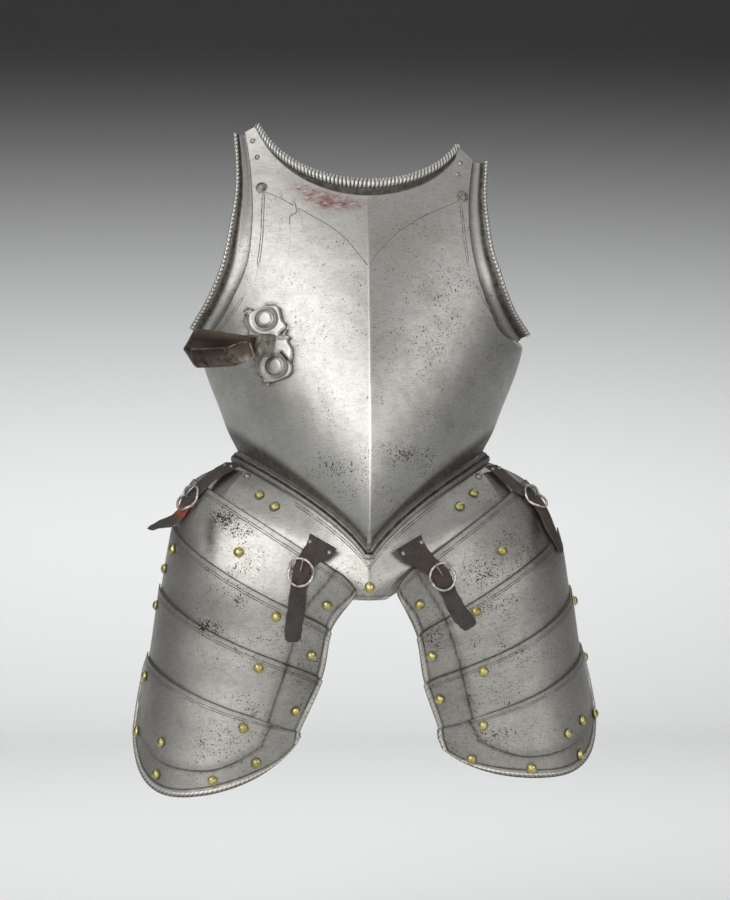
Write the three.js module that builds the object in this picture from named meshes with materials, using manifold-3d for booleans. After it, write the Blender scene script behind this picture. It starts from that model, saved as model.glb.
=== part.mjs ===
// A breastplate with its fauld, two tassets of four lames each, arm gussets and a folding lance rest.
// Units are millimetres. +Z is up, -Y is the front, +X is the wearer's left. The origin lies inside the
// hollow of the waist, on the line that joins the two side edges, where the wearer's body carries the piece.
import * as THREE from "three";
import { mergeVertices } from "three/addons/utils/BufferGeometryUtils.js";
import Module from "manifold-3d";

const wasm = await Module();
wasm.setup();

// ---------------------------------------------------------------- driving dimensions

const PLATE_THICKNESS = 2.2; // breastplate
const LAME_THICKNESS = 1.5; // fauld and tassets
const GUSSET_THICKNESS = 1.5;
const SIDES = { right: -1, left: 1 }; // the wearer's sides, as the sign of x

// Horizontal sections of the breastplate. half: half its width; depth: from the side edges to the ridge;
// keel: 0 is a half ellipse, 1 a wedge.
const CHEST = [
  { z: -110, half: 60, depth: 144, keel: 0.5 },
  { z: -60, half: 97, depth: 156, keel: 0.48 },
  { z: 0, half: 132.5, depth: 153, keel: 0.4 },
  { z: 50, half: 152, depth: 145, keel: 0.33 },
  { z: 90, half: 167.5, depth: 134, keel: 0.28 },
  { z: 125, half: 176, depth: 123, keel: 0.24 },
  { z: 175, half: 183, depth: 106, keel: 0.2 },
  { z: 225, half: 179, depth: 88, keel: 0.16 },
  { z: 275, half: 165, depth: 68, keel: 0.13 },
  { z: 350, half: 142, depth: 34, keel: 0.1 },
];
const SIDE_ANGLE = 86; // degrees from the front at which the plate's side edges lie
const WAIST = { side: 3, front: -97, pinch: { side: 2.5, front: 2 }, fade: 17 };
const WAIST_FLANGE = [
  { out: 3.5, down: 1 },
  { out: 6.5, down: 4 },
  { out: 7.5, down: 9 },
];
const NECK = { x: 3.6, z: 284.5, rim: { middle: 5, tip: 2.6 }, hollow: 2.4 };
// Each side's neck curve, the x at which it ends, and the outer corner of its shoulder.
const SHOULDER = {
  right: { half: 116, rise: 97, tip: 109.7, corner: { x: 123, z: 343 } },
  left: { half: 113, rise: 76, tip: 102.6, corner: { x: 118.5, z: 314 } },
};
// Arm openings. plate: the breastplate's own edge; rim: the gusset's roped edge; forward: how far out it stands.
const ARMHOLE = {
  right: [
    { z: 113, plate: 173.5, rim: 192, forward: 4 },
    { z: 134, plate: 154, rim: 179.5, forward: 18 },
    { z: 162, plate: 137.5, rim: 162.6, forward: 40 },
    { z: 200, plate: 121.7, rim: 147, forward: 52 },
    { z: 245, plate: 115.9, rim: 137.5, forward: 50 },
    { z: 280, plate: 115.8, rim: 132, forward: 41 },
    { z: 315, plate: 118.5, rim: 131.8, forward: 28 },
    { z: 343, plate: 123, rim: 133.6, forward: 17 },
  ],
  left: [
    { z: 113, plate: 173.5, rim: 190, forward: 4 },
    { z: 129, plate: 145.5, rim: 179.5, forward: 16 },
    { z: 150, plate: 134, rim: 163, forward: 36 },
    { z: 172, plate: 124.6, rim: 151.5, forward: 50 },
    { z: 192, plate: 119, rim: 144.2, forward: 56 },
    { z: 216, plate: 114, rim: 136.7, forward: 54 },
    { z: 246, plate: 111.7, rim: 132.6, forward: 47 },
    { z: 275, plate: 112.7, rim: 131.2, forward: 37 },
    { z: 314, plate: 118.5, rim: 134.5, forward: 22 },
  ],
};
const GUSSET = { under: 15, gap: 1.7, rim: 2.3, foot: { right: 134, left: 128 } };

// Sections of the fauld: under the waist flange, at the tassets' upper edges, and at its own lower edge.
const FAULD = [
  { v: 0, half: 127.5, depth: 148.8, keel: 0.45, side: -2.5, front: -102.5 },
  { v: 0.6, half: 179.5, depth: 152, keel: 0.3, side: -28, front: -140 },
  { v: 1, half: 182, depth: 139, keel: 0.3, side: -52, front: -158 },
];
const CROTCH = { z: -148, half: 27, lip: 2.4 };

// Sections of each tasset along its length: v -1 follows the fauld, 0 is its upper edge, 1 to 3 the upper edges
// of the lower lames, 4 the rounded end. x and forward: the section's centre; out, in: its half widths on the hip
// and crotch sides; deep: how far it bulges; z, slope, lift: its height, its rise towards the hip and towards the
// back; from, to: its end angles; border: the share of its width taken by the sunk border.
const TASSET = {
  right: [
    { v: -1, x: 0, forward: 0, out: 133, in: 133, deep: 157.5, keel: 0.43, z: -103, slope: 0.745, lift: 0, from: 3, to: 76, roundIn: 0, roundOut: 0, border: 0.16 },
    { v: 0, x: 0, forward: 2.7, out: 181, in: 181, deep: 151, keel: 0.3, z: -137.6, slope: 0.63, lift: 0, from: 2.5, to: 76, roundIn: 0, roundOut: 0, border: 0.1 },
    { v: 1, x: 95, forward: 28, out: 102, in: 100, deep: 94, keel: 0, z: -149, slope: 0.5, lift: 0.26, from: -37, to: 82, roundIn: 0, roundOut: 0, border: 0.16 },
    { v: 2, x: 112, forward: 18, out: 99, in: 99, deep: 95, keel: 0, z: -203, slope: 0.4, lift: 0.26, from: -43.5, to: 85, roundIn: 0, roundOut: 0, border: 0.19 },
    { v: 3, x: 134, forward: 10, out: 90, in: 90, deep: 94, keel: 0, z: -263.5, slope: 0.346, lift: 0.22, from: -49, to: 85, roundIn: 0, roundOut: 0, border: 0.19 },
    { v: 4, x: 150, forward: 5, out: 91, in: 110, deep: 91, keel: 0, z: -350, slope: -0.12, lift: 0, from: -50.5, to: 86, roundIn: 46, roundOut: 56, border: 0.22 },
  ],
  left: [
    { v: -1, x: 0, forward: 0, out: 133, in: 133, deep: 157.5, keel: 0.43, z: -103, slope: 0.745, lift: 0, from: 7.5, to: 76, roundIn: 0, roundOut: 0, border: 0.16 },
    { v: 0, x: 0, forward: 2.7, out: 179, in: 179, deep: 151, keel: 0.3, z: -146, slope: 0.68, lift: 0, from: 7.5, to: 76, roundIn: 0, roundOut: 0, border: 0.1 },
    { v: 1, x: 105, forward: 28, out: 102, in: 91, deep: 94, keel: 0, z: -153, slope: 0.6, lift: 0.15, from: -36, to: 80, roundIn: 0, roundOut: 0, border: 0.16 },
    { v: 2, x: 129, forward: 18, out: 94, in: 95, deep: 95, keel: 0, z: -208, slope: 0.41, lift: 0.29, from: -45.5, to: 85, roundIn: 0, roundOut: 0, border: 0.19 },
    { v: 3, x: 148, forward: 10, out: 87.5, in: 90, deep: 94, keel: 0, z: -260, slope: 0.347, lift: 0.27, from: -52, to: 85, roundIn: 0, roundOut: 0, border: 0.19 },
    { v: 4, x: 164, forward: 5, out: 89, in: 108, deep: 91, keel: 0, z: -337, slope: 0.02, lift: 0, from: -52, to: 86, roundIn: 34, roundOut: 54, border: 0.22 },
  ],
};
const LAMES = 4;
const HIP = 1.07; // how far past s = 1 the lames below the first reach round the hip
const LAME = { overlap: 0.22, step: 3, sunk: 1.2, lip: 2.2, lipWidth: 0.04, corner: [0.2, 0.08, 0.08, 0.1] };

// Brass rivets. across and down place each on its lame: across from the crotch edge (0) to the hip (1), down from
// the lame's upper edge (0) to the next lame's (1); border: 1 where it stands on the sunk border.
const RIVET = { radius: 5.6, height: 4, gap: 0.8 };
const LAME_RIVETS = {
  right: [
    { lame: 1, across: 0.52, down: 0.62, border: 0 },
    { lame: 1, across: 0.08, down: 0.66, border: 1 },
    { lame: 2, across: 0.29, down: 0.24, border: 0 },
    { lame: 2, across: 0.09, down: 0.69, border: 1 },
    { lame: 2, across: 0.92, down: 0.26, border: 0 },
    { lame: 2, across: 0.99, down: 0.68, border: 0 },
    { lame: 3, across: 0.32, down: 0.23, border: 0 },
    { lame: 3, across: 0.08, down: 0.67, border: 1 },
    { lame: 3, across: 1, down: 0.27, border: 0 },
    { lame: 4, across: 0.32, down: 0.19, border: 0 },
    { lame: 4, across: 0.235, down: 0.72, border: 1 },
    { lame: 4, across: 0.42, down: 0.84, border: 1 },
    { lame: 4, across: 0.73, down: 0.86, border: 1 },
    { lame: 4, across: 0.72, down: 0.58, border: 0 },
    { lame: 4, across: 0.96, down: 0.2, border: 0 },
    { lame: 4, across: 0.96, down: 0.78, border: 0 },
  ],
  left: [
    { lame: 1, across: 0.53, down: 0.625, border: 0 },
    { lame: 1, across: 0.076, down: 0.59, border: 1 },
    { lame: 2, across: 0.33, down: 0.16, border: 0 },
    { lame: 2, across: 0.07, down: 0.56, border: 1 },
    { lame: 3, across: 0.3, down: 0.2, border: 0 },
    { lame: 3, across: 0.065, down: 0.43, border: 1 },
    { lame: 3, across: 0.97, down: 0.15, border: 0 },
    { lame: 4, across: 0.25, down: 0.18, border: 0 },
    { lame: 4, across: 0.17, down: 0.84, border: 1 },
    { lame: 4, across: 0.43, down: 0.87, border: 1 },
    { lame: 4, across: 0.73, down: 0.88, border: 1 },
    { lame: 4, across: 0.66, down: 0.6, border: 0 },
    { lame: 4, across: 0.78, down: 0.59, border: 0 },
    { lame: 4, across: 1, down: 0.15, border: 0 },
    { lame: 4, across: 0.97, down: 0.86, border: 0 },
  ],
};
// across: from the right side edge (-1) to the left one (1); down: from the upper edge (0) to the lower (1).
const FAULD_RIVETS = [
  { across: -0.54, down: 0.25 },
  { across: -0.446, down: 0.26 },
  { across: 0, down: 0.5 },
  { across: 0.456, down: 0.29 },
  { across: 0.563, down: 0.27 },
];
const FAULD_STEEL_RIVETS = [
  { across: -0.7, down: 0.14 },
  { across: 0.8, down: 0.27 },
];
// Steel rivets on the breastplate: the two fluted ones that the gussets turn on, then the four at the shoulders.
const CHEST_RIVETS = [
  { x: -106.4, z: 281, radius: 5.8, height: 4.4, sides: 10 },
  { x: 105.5, z: 272.7, radius: 5.8, height: 4.4, sides: 10 },
  { x: -115, z: 333, radius: 3.2, height: 2.6, sides: 6 },
  { x: -110.3, z: 315, radius: 3.2, height: 2.6, sides: 6 },
  { x: 104.5, z: 309.5, radius: 3.2, height: 2.6, sides: 6 },
  { x: 101, z: 297, radius: 3.2, height: 2.6, sides: 6 },
];

// Straps: each row is a place on the tasset's surface (s, v), how far the leather stands off it, and half its width.
const STRAP_THICKNESS = 2.2;
const STRAPS = {
  strap_inner_right: {
    side: "right",
    buckle: 4,
    rivets: [{ row: 0, along: -7, apart: 11.5 }],
    rows: [
      { s: 0.193, v: -0.486, raise: 1.4, half: 17 },
      { s: 0.2, v: -0.2, raise: 2.4, half: 14.5 },
      { s: 0.218, v: 0.05, raise: 3.5, half: 10.5 },
      { s: 0.228, v: 0.22, raise: 5.2, half: 9 },
      { s: 0.23, v: 0.35, raise: 5.9, half: 9 },
      { s: 0.226, v: 0.48, raise: 5.8, half: 8.6 },
      { s: 0.222, v: 0.66, raise: 5.1, half: 8.4 },
      { s: 0.208, v: 1, raise: 3.8, half: 9 },
      { s: 0.205, v: 1.3, raise: 2.9, half: 9 },
      { s: 0.199, v: 1.5, raise: 2.5, half: 8 },
      { s: 0.197, v: 1.56, raise: 2.4, half: 5 },
    ],
  },
  strap_inner_left: {
    side: "left",
    buckle: 4,
    rivets: [{ row: 0, along: -7, apart: 11.5 }],
    rows: [
      { s: 0.117, v: -0.62, raise: 1.4, half: 17 },
      { s: 0.13, v: -0.3, raise: 2.4, half: 14.5 },
      { s: 0.16, v: 0.05, raise: 4.2, half: 10.5 },
      { s: 0.19, v: 0.25, raise: 5.2, half: 9 },
      { s: 0.206, v: 0.38, raise: 5.9, half: 9 },
      { s: 0.214, v: 0.51, raise: 5.8, half: 8.6 },
      { s: 0.224, v: 0.7, raise: 4.9, half: 8.2 },
      { s: 0.25, v: 1.03, raise: 3.8, half: 9 },
      { s: 0.274, v: 1.22, raise: 3.1, half: 9 },
      { s: 0.286, v: 1.33, raise: 2.8, half: 7.5 },
      { s: 0.289, v: 1.36, raise: 2.7, half: 5 },
    ],
  },
  strap_outer_right: {
    side: "right",
    buckle: 5,
    rivets: [{ row: 0, along: -7, apart: 5 }],
    rows: [
      { s: 0.965, v: -0.82, raise: 1.4, half: 9.5 },
      { s: 0.925, v: -0.6, raise: 1.6, half: 9 },
      { s: 0.88, v: -0.3, raise: 2.4, half: 8.5 },
      { s: 0.865, v: 0.06, raise: 3.9, half: 8.5 },
      { s: 0.88, v: 0.24, raise: 5.2, half: 8.5 },
      { s: 0.897, v: 0.375, raise: 5.9, half: 8.5 },
      { s: 0.91, v: 0.5, raise: 5.8, half: 8.5 },
      { s: 0.93, v: 0.68, raise: 5.3, half: 8.5 },
      { s: 0.965, v: 0.86, raise: 8.4, half: 8.5 },
      { s: 0.985, v: 0.98, raise: 17, half: 8 },
      { s: 0.99, v: 1.08, raise: 25, half: 7.5 },
      { s: 0.99, v: 1.11, raise: 27.5, half: 4.5 },
    ],
  },
  strap_outer_left: {
    side: "left",
    buckle: 5,
    rivets: [{ row: 0, along: -7, apart: 5 }],
    rows: [
      { s: 0.93, v: -0.74, raise: 1.4, half: 9 },
      { s: 0.88, v: -0.5, raise: 1.7, half: 8.5 },
      { s: 0.835, v: -0.26, raise: 2.4, half: 8.5 },
      { s: 0.825, v: 0.03, raise: 3.6, half: 8.5 },
      { s: 0.86, v: 0.2, raise: 5.2, half: 8.5 },
      { s: 0.88, v: 0.334, raise: 5.9, half: 8.5 },
      { s: 0.883, v: 0.46, raise: 5.8, half: 8.5 },
      { s: 0.883, v: 0.62, raise: 5.3, half: 8.5 },
      { s: 0.87, v: 0.8, raise: 4.3, half: 8.5 },
      { s: 0.878, v: 1, raise: 4.6, half: 8.5 },
      { s: 0.89, v: 1.17, raise: 4.4, half: 8 },
      { s: 0.895, v: 1.23, raise: 4.3, half: 4.5 },
    ],
  },
};
// Two-looped buckles: half their width and length, the wire's radius, the heights of bar, loops and tongue above
// the tasset's surface, and the tab that holds the bar to the lame, with its height under each row of the strap.
const BUCKLE = {
  wide: 13.9, long: 14.6, waist: 0.16, wire: 1.35, bar: 4.2, loop: 10.2, tongue: 11.5, tongueWire: 1.1,
  tab: { half: 6.5, thickness: 1.6, under: [3.4, 3.5, 3.1] },
};

// The folding lance rest. Its plate follows the chest: each row gives its two edges at a height.
const REST_PLATE = [
  { z: 74.6, from: -105, to: -96 },
  { z: 80.8, from: -105.5, to: -79.6 },
  { z: 88, from: -111.7, to: -75.5 },
  { z: 95.3, from: -113.8, to: -76 },
  { z: 102.5, from: -114.3, to: -75 },
  { z: 109.8, from: -114.8, to: -75.5 },
  { z: 118, from: -121, to: -79.6 },
  { z: 121, from: -121.5, to: -77 },
  { z: 124.2, from: -121.5, to: -81.7 },
  { z: 128.4, from: -120.5, to: -80.2 },
  { z: 133.6, from: -123, to: -81.2 },
  { z: 139.8, from: -125.2, to: -84.8 },
  { z: 146, from: -120, to: -86.4 },
  { z: 152.2, from: -109.6, to: -87.9 },
  { z: 155.8, from: -101.4, to: -93 },
];
const REST = {
  gap: 0.5,
  thickness: 3,
  bolts: [{ x: -102.9, z: 141 }, { x: -92.1, z: 92 }],
  bolt: { radius: 9.2, height: 5.6 },
  hinge: { x: -115.5, forward: 101, z: 113 },
  turn: 45, // degrees from straight ahead towards the wearer's right
  lug: { from: 7, to: 13, back: -26, ahead: 7, half: 12.5 },
  pin: 4,
  knuckle: { radius: 9, half: 6.5, hole: 4.5 },
};
// The arm's sections along its length. tip, back: the two faces of its edges; vertex, trough: of its fold; middle:
// the height of the fold.
const REST_ARM = [
  { q: 5, top: 8.6, bottom: -8.6, middle: 0, tip: 6.5, back: -6.5, vertex: -6.5, trough: 6.5 },
  { q: 14, top: 9, bottom: -15, middle: -1, tip: 6.5, back: -6.5, vertex: -6.6, trough: 6 },
  { q: 24, top: 10, bottom: -19, middle: -2, tip: 6, back: -3, vertex: -9, trough: -1 },
  { q: 36, top: 11, bottom: -22, middle: -3, tip: 5, back: 1, vertex: -12.5, trough: -7 },
  { q: 60, top: 13, bottom: -24, middle: -4.5, tip: 4.5, back: 1, vertex: -14.5, trough: -10.5 },
  { q: 84, top: 14.5, bottom: -25, middle: -6, tip: 4, back: 1, vertex: -15.5, trough: -11.8 },
  { q: 90, top: 14.6, bottom: -24.6, middle: -6, tip: 4, back: 1, vertex: -15.5, trough: -11.8 },
];

// ---------------------------------------------------------------- materials

const metal = (color, roughness) =>
  new THREE.MeshStandardMaterial({ color, roughness, metalness: 1 });
const STEEL = metal(0xb9b6b0, 0.38);
const DARK_STEEL = metal(0x5f554f, 0.6);
const BRASS = metal(0xc2a34a, 0.35);
const IRON = metal(0x9b948a, 0.5);
const LEATHER = new THREE.MeshStandardMaterial({ color: 0x453a33, roughness: 0.8, metalness: 0 });

// ---------------------------------------------------------------- small tools

const radians = THREE.MathUtils.degToRad;
const mix = THREE.MathUtils.lerp;
const clamp = THREE.MathUtils.clamp;
const at = (x, forward, z) => new THREE.Vector3(x, -forward, z);
const steps = (count) => Array.from({ length: count + 1 }, (_, i) => i / count);
const smooth = (t) => {
  const c = clamp(t, 0, 1);
  return c * c * (3 - 2 * c);
};

// One column of a table at a value of its key column: a smooth curve through the rows.
function column(table, key, name, value) {
  const last = table.length - 2;
  let i = 0;
  while (i < last && table[i + 1][key] < value) i++;
  const tangent = (k) => {
    const a = table[Math.max(k - 1, 0)];
    const b = table[Math.min(k + 1, table.length - 1)];
    return (b[name] - a[name]) / (b[key] - a[key]);
  };
  const a = table[i];
  const b = table[i + 1];
  const span = b[key] - a[key];
  const t = clamp((value - a[key]) / span, -0.2, 1.1);
  const rise = t * t * (3 - 2 * t);
  return (
    mix(a[name], b[name], rise) +
    span * t * (1 - t) * ((1 - t) * tangent(i) - t * tangent(i + 1))
  );
}

// The outward normal of a surface at (a, b), where across and along are the directions in which a and b grow.
function normalOf(surface, a, b, turn) {
  const e = 1e-3;
  const across = surface(a + e, b).sub(surface(a - e, b));
  const along = surface(a, b + e).sub(surface(a, b - e));
  return across.cross(along).multiplyScalar(turn).normalize();
}

// The outward normal at each point of a grid of points, from its neighbours.
function gridNormals(grid, turn) {
  return grid.map((row, i) =>
    row.map((_, j) => {
      const up = grid[Math.min(i + 1, grid.length - 1)][j];
      const down = grid[Math.max(i - 1, 0)][j];
      const on = row[Math.min(j + 1, row.length - 1)];
      const back = row[Math.max(j - 1, 0)];
      return new THREE.Vector3()
        .crossVectors(on.clone().sub(back), up.clone().sub(down))
        .multiplyScalar(turn)
        .normalize();
    }),
  );
}

const offsetGrid = (grid, normals, distance) =>
  grid.map((row, i) => row.map((p, j) => p.clone().addScaledVector(normals[i][j], distance)));

function indexed(points, index) {
  const geometry = new THREE.BufferGeometry();
  const positions = points.flatMap((p) => [p.x, p.y, p.z]);
  geometry.setAttribute("position", new THREE.Float32BufferAttribute(positions, 3));
  geometry.setIndex(index);
  return geometry;
}

// A closed wall between two grids of points that face each other. turn: 1 if the first grid's faces
// already point out when its rows go up and its points go right, else -1.
function wall(outer, inner, turn) {
  const rows = outer.length;
  const cols = outer[0].length;
  const index = [];
  const quad = (a, b, c, d) =>
    turn > 0 ? index.push(a, b, c, a, c, d) : index.push(a, c, b, a, d, c);
  const id = (i, j, layer) => layer * rows * cols + i * cols + j;
  for (let i = 0; i < rows - 1; i++)
    for (let j = 0; j < cols - 1; j++) {
      quad(id(i, j, 0), id(i, j + 1, 0), id(i + 1, j + 1, 0), id(i + 1, j, 0));
      quad(id(i, j, 1), id(i + 1, j, 1), id(i + 1, j + 1, 1), id(i, j + 1, 1));
    }
  for (let j = 0; j < cols - 1; j++) {
    quad(id(0, j, 1), id(0, j + 1, 1), id(0, j + 1, 0), id(0, j, 0));
    quad(id(rows - 1, j, 0), id(rows - 1, j + 1, 0), id(rows - 1, j + 1, 1), id(rows - 1, j, 1));
  }
  for (let i = 0; i < rows - 1; i++) {
    quad(id(i, 0, 0), id(i + 1, 0, 0), id(i + 1, 0, 1), id(i, 0, 1));
    quad(id(i, cols - 1, 1), id(i + 1, cols - 1, 1), id(i + 1, cols - 1, 0), id(i, cols - 1, 0));
  }
  return indexed([...outer.flat(), ...inner.flat()], index);
}

// A sheet of a given thickness under the points of a grid.
function sheet(grid, thickness, turn) {
  const normals = gridNormals(grid, turn);
  return wall(grid, offsetGrid(grid, normals, -thickness), turn);
}

// A closed skin through rings of points, each ring turning anticlockwise about the way the rings go.
function skin(rings, closed = false) {
  const sides = rings[0].length;
  const index = [];
  const last = closed ? rings.length : rings.length - 1;
  for (let i = 0; i < last; i++)
    for (let k = 0; k < sides; k++) {
      const next = (k + 1) % sides;
      const a = i * sides;
      const b = ((i + 1) % rings.length) * sides;
      index.push(a + k, a + next, b + next, a + k, b + next, b + k);
    }
  const end = (rings.length - 1) * sides;
  if (!closed)
    for (let k = 1; k < sides - 1; k++) index.push(0, k + 1, k, end, end + k, end + k + 1);
  return indexed(rings.flat(), index);
}

// A rod through the points of a path, with a radius at each of them.
function rod(path, radii, sides, closed = false) {
  const count = path.length;
  const turned = path.map((p, i) => {
    const before = path[closed ? (i + count - 1) % count : Math.max(i - 1, 0)];
    const after = path[closed ? (i + 1) % count : Math.min(i + 1, count - 1)];
    return after.clone().sub(before).normalize();
  });
  let normal = new THREE.Vector3(0.31, -0.87, 0.38).cross(turned[0]).normalize();
  const rings = path.map((p, i) => {
    normal = normal.clone().addScaledVector(turned[i], -normal.dot(turned[i])).normalize();
    const binormal = turned[i].clone().cross(normal);
    return Array.from({ length: sides }, (_, k) => {
      const angle = (2 * Math.PI * k) / sides;
      return p
        .clone()
        .addScaledVector(normal, radii[i] * Math.cos(angle))
        .addScaledVector(binormal, radii[i] * Math.sin(angle));
    });
  });
  return skin(rings, closed);
}

// A round piece turned about an axis: its profile runs from the base up, as { out, up } rows, and ends at a point.
function turnedPiece(base, axis, profile, sides) {
  const a = new THREE.Vector3(0.21, 0.37, 0.9).cross(axis).normalize();
  const b = axis.clone().cross(a);
  const points = [];
  const index = [];
  for (const { out, up } of profile.slice(0, -1))
    for (let k = 0; k < sides; k++) {
      const angle = (2 * Math.PI * k) / sides;
      points.push(
        base
          .clone()
          .addScaledVector(axis, up)
          .addScaledVector(a, out * Math.cos(angle))
          .addScaledVector(b, out * Math.sin(angle)),
      );
    }
  points.push(base.clone().addScaledVector(axis, profile.at(-1).up));
  const rings = profile.length - 1;
  for (let i = 0; i < rings - 1; i++)
    for (let k = 0; k < sides; k++) {
      const next = (k + 1) % sides;
      const low = i * sides;
      const high = low + sides;
      index.push(low + k, low + next, high + next, low + k, high + next, high + k);
    }
  const top = (rings - 1) * sides;
  for (let k = 0; k < sides; k++) index.push(top + k, top + ((k + 1) % sides), rings * sides);
  for (let k = 1; k < sides - 1; k++) index.push(0, k + 1, k);
  return indexed(points, index);
}
const dome = (base, axis, radius, height, sides = 8) =>
  turnedPiece(
    base,
    axis,
    [
      { out: radius, up: 0 },
      { out: radius * 0.78, up: height * 0.62 },
      { up: height },
    ],
    sides,
  );

function solid(geometry) {
  const merged = mergeVertices(
    new THREE.BufferGeometry()
      .setAttribute("position", geometry.getAttribute("position"))
      .setIndex(geometry.index),
    1e-3,
  );
  return new wasm.Manifold(
    new wasm.Mesh({
      numProp: 3,
      vertProperties: new Float32Array(merged.attributes.position.array),
      triVerts: new Uint32Array(merged.index.array),
    }),
  );
}

function geometryOf(made) {
  const mesh = made.getMesh();
  const geometry = new THREE.BufferGeometry();
  geometry.setAttribute("position", new THREE.BufferAttribute(mesh.vertProperties.slice(), 3));
  geometry.setIndex(new THREE.BufferAttribute(mesh.triVerts.slice(), 1));
  return geometry;
}

const joined = (...geometries) => geometryOf(geometries.map(solid).reduce((a, b) => a.add(b)));

const cuirass = new THREE.Group();
function piece(name, geometry, material) {
  const flat = geometry.index ? geometry.toNonIndexed() : geometry;
  flat.computeVertexNormals();
  const mesh = new THREE.Mesh(flat, material);
  mesh.name = name;
  cuirass.add(mesh);
  return mesh;
}

// ---------------------------------------------------------------- breastplate

const chestAt = (name, z) => column(CHEST, "z", name, z);
const ridgeX = (z) => NECK.x * clamp((z - WAIST.front) / (NECK.z - WAIST.front), 0, 1.2);

// A half section: an ellipse blended with a wedge, at an angle from the front.
const bulge = (angle, keel) =>
  (1 - keel) * Math.cos(angle) + keel * (1 - Math.sin(Math.abs(angle)));

// The breastplate's outer face at an angle from its ridge, at a height.
const chestPoint = (side, angle, z) =>
  at(
    ridgeX(z) + side * chestAt("half", z) * Math.sin(angle),
    chestAt("depth", z) * bulge(angle, chestAt("keel", z)),
    z,
  );
const chestNormal = (side, angle, z) =>
  normalOf((a, b) => chestPoint(side, a, b), Math.max(angle, 0.002), z, side);

// The angle at which the section at a height reaches a distance from the middle.
const angleAt = (side, x, z) =>
  Math.asin(
    Math.min(Math.abs(x - ridgeX(z)) / chestAt("half", z), Math.sin(radians(SIDE_ANGLE))),
  );

const edgeAt = (name, what, z) => column(ARMHOLE[name], "z", what, z);

// The borders of one half of the plate, each as an angle and a height.
function waistBorder(u) {
  const angle = radians(SIDE_ANGLE) * u;
  const share = Math.sin(angle) / Math.sin(radians(SIDE_ANGLE));
  return [angle, mix(WAIST.front, WAIST.side, share)];
}
const NECK_SHARE = 0.9; // of the top border; the rest is the shoulder
function neckArc(name, share) {
  const { half, rise, tip } = SHOULDER[name];
  const turn = Math.asin(tip / half) * share;
  return { x: SIDES[name] * half * Math.sin(turn), z: NECK.z + rise * (1 - Math.cos(turn)) };
}
function topBorder(name, u) {
  const { corner } = SHOULDER[name];
  const arc = neckArc(name, Math.min(u / NECK_SHARE, 1));
  const share = Math.max(u - NECK_SHARE, 0) / (1 - NECK_SHARE);
  const x = mix(arc.x + NECK.x * (1 - u / NECK_SHARE), SIDES[name] * corner.x, share);
  const z = mix(arc.z, corner.z, share);
  return [angleAt(SIDES[name], x, z), z];
}
function sideBorder(name, v) {
  const z = mix(WAIST.side, SHOULDER[name].corner.z, v);
  if (z < ARMHOLE[name][0].z) return [radians(SIDE_ANGLE), z];
  return [angleAt(SIDES[name], SIDES[name] * edgeAt(name, "plate", z), z), z];
}

// A point of the half plate at shares u across and v up, from its four borders.
function halfPlate(name, u, v) {
  const bottom = waistBorder(u);
  const top = topBorder(name, u);
  const side = sideBorder(name, v);
  const ridge = [0, mix(WAIST.front, NECK.z, v)];
  const blend = (i) =>
    mix(bottom[i], top[i], v) +
    mix(ridge[i], side[i], u) -
    mix(
      mix(waistBorder(0)[i], waistBorder(1)[i], u),
      mix(topBorder(name, 0)[i], topBorder(name, 1)[i], u),
      v,
    );
  const angle = Math.max(blend(0), 0);
  const z = blend(1);
  const pinch = mix(WAIST.pinch.front, WAIST.pinch.side, Math.sin(angle));
  const hollow = u < NECK_SHARE ? NECK.hollow * Math.exp(-(((top[1] - z - 10) / 6) ** 2)) : 0;
  const inward = pinch * Math.exp(-(((z - bottom[1]) / WAIST.fade) ** 2)) + hollow;
  const facing = chestNormal(SIDES[name], angle, z);
  if (angle < 0.02) facing.setX(0).normalize();
  return chestPoint(SIDES[name], angle, z).addScaledVector(facing, -inward);
}

const halfOf = (u) => (u < 0 ? "right" : "left");
const bothHalves = (shares) => [...shares.slice(1).reverse().map((u) => -u), ...shares];

// A point on the breastplate's face seen from the front at (x, z), raised along its normal.
function onChest(x, z, raise = 0) {
  const side = x < ridgeX(z) ? -1 : 1;
  const angle = angleAt(side, x, z);
  const normal = chestNormal(side, angle, z);
  return { point: chestPoint(side, angle, z).addScaledVector(normal, raise), normal };
}

function breastplate() {
  const columns = bothHalves(steps(10));
  const flange = [...WAIST_FLANGE].reverse().map(({ out, down }) =>
    columns.map((u) => {
      const name = halfOf(u);
      const [angle, z] = waistBorder(Math.abs(u));
      const facing = chestNormal(SIDES[name], angle, z).setZ(0);
      if (u === 0) facing.setX(0);
      return halfPlate(name, Math.abs(u), 0)
        .addScaledVector(facing.normalize(), out)
        .setZ(z - down);
    }),
  );
  const heights = [0, 0.025, 0.06, ...steps(13).filter((v) => v > 0.1 && v < 0.9), 0.93, 0.965, 0.985, 1];
  const body = heights.map((v) => columns.map((u) => halfPlate(halfOf(u), Math.abs(u), v)));
  const plate = sheet([...flange, ...body], PLATE_THICKNESS, 1);
  const rimColumns = columns.filter((u) => Math.abs(u) <= NECK_SHARE + 0.01);
  const rimPath = rimColumns.map((u) => halfPlate(halfOf(u), Math.abs(u), 1));
  const rimRadii = rimColumns.map((u) => mix(NECK.rim.middle, NECK.rim.tip, Math.abs(u)));
  const studs = CHEST_RIVETS.map(({ x, z, radius, height, sides }) => {
    const { point, normal } = onChest(x, z, -0.8);
    return dome(point, normal, radius, height + 0.8, sides);
  });
  return joined(plate, rod(rimPath, rimRadii, 6), ...studs);
}
piece("breastplate", breastplate(), STEEL);

// ---------------------------------------------------------------- arm gussets

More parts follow.
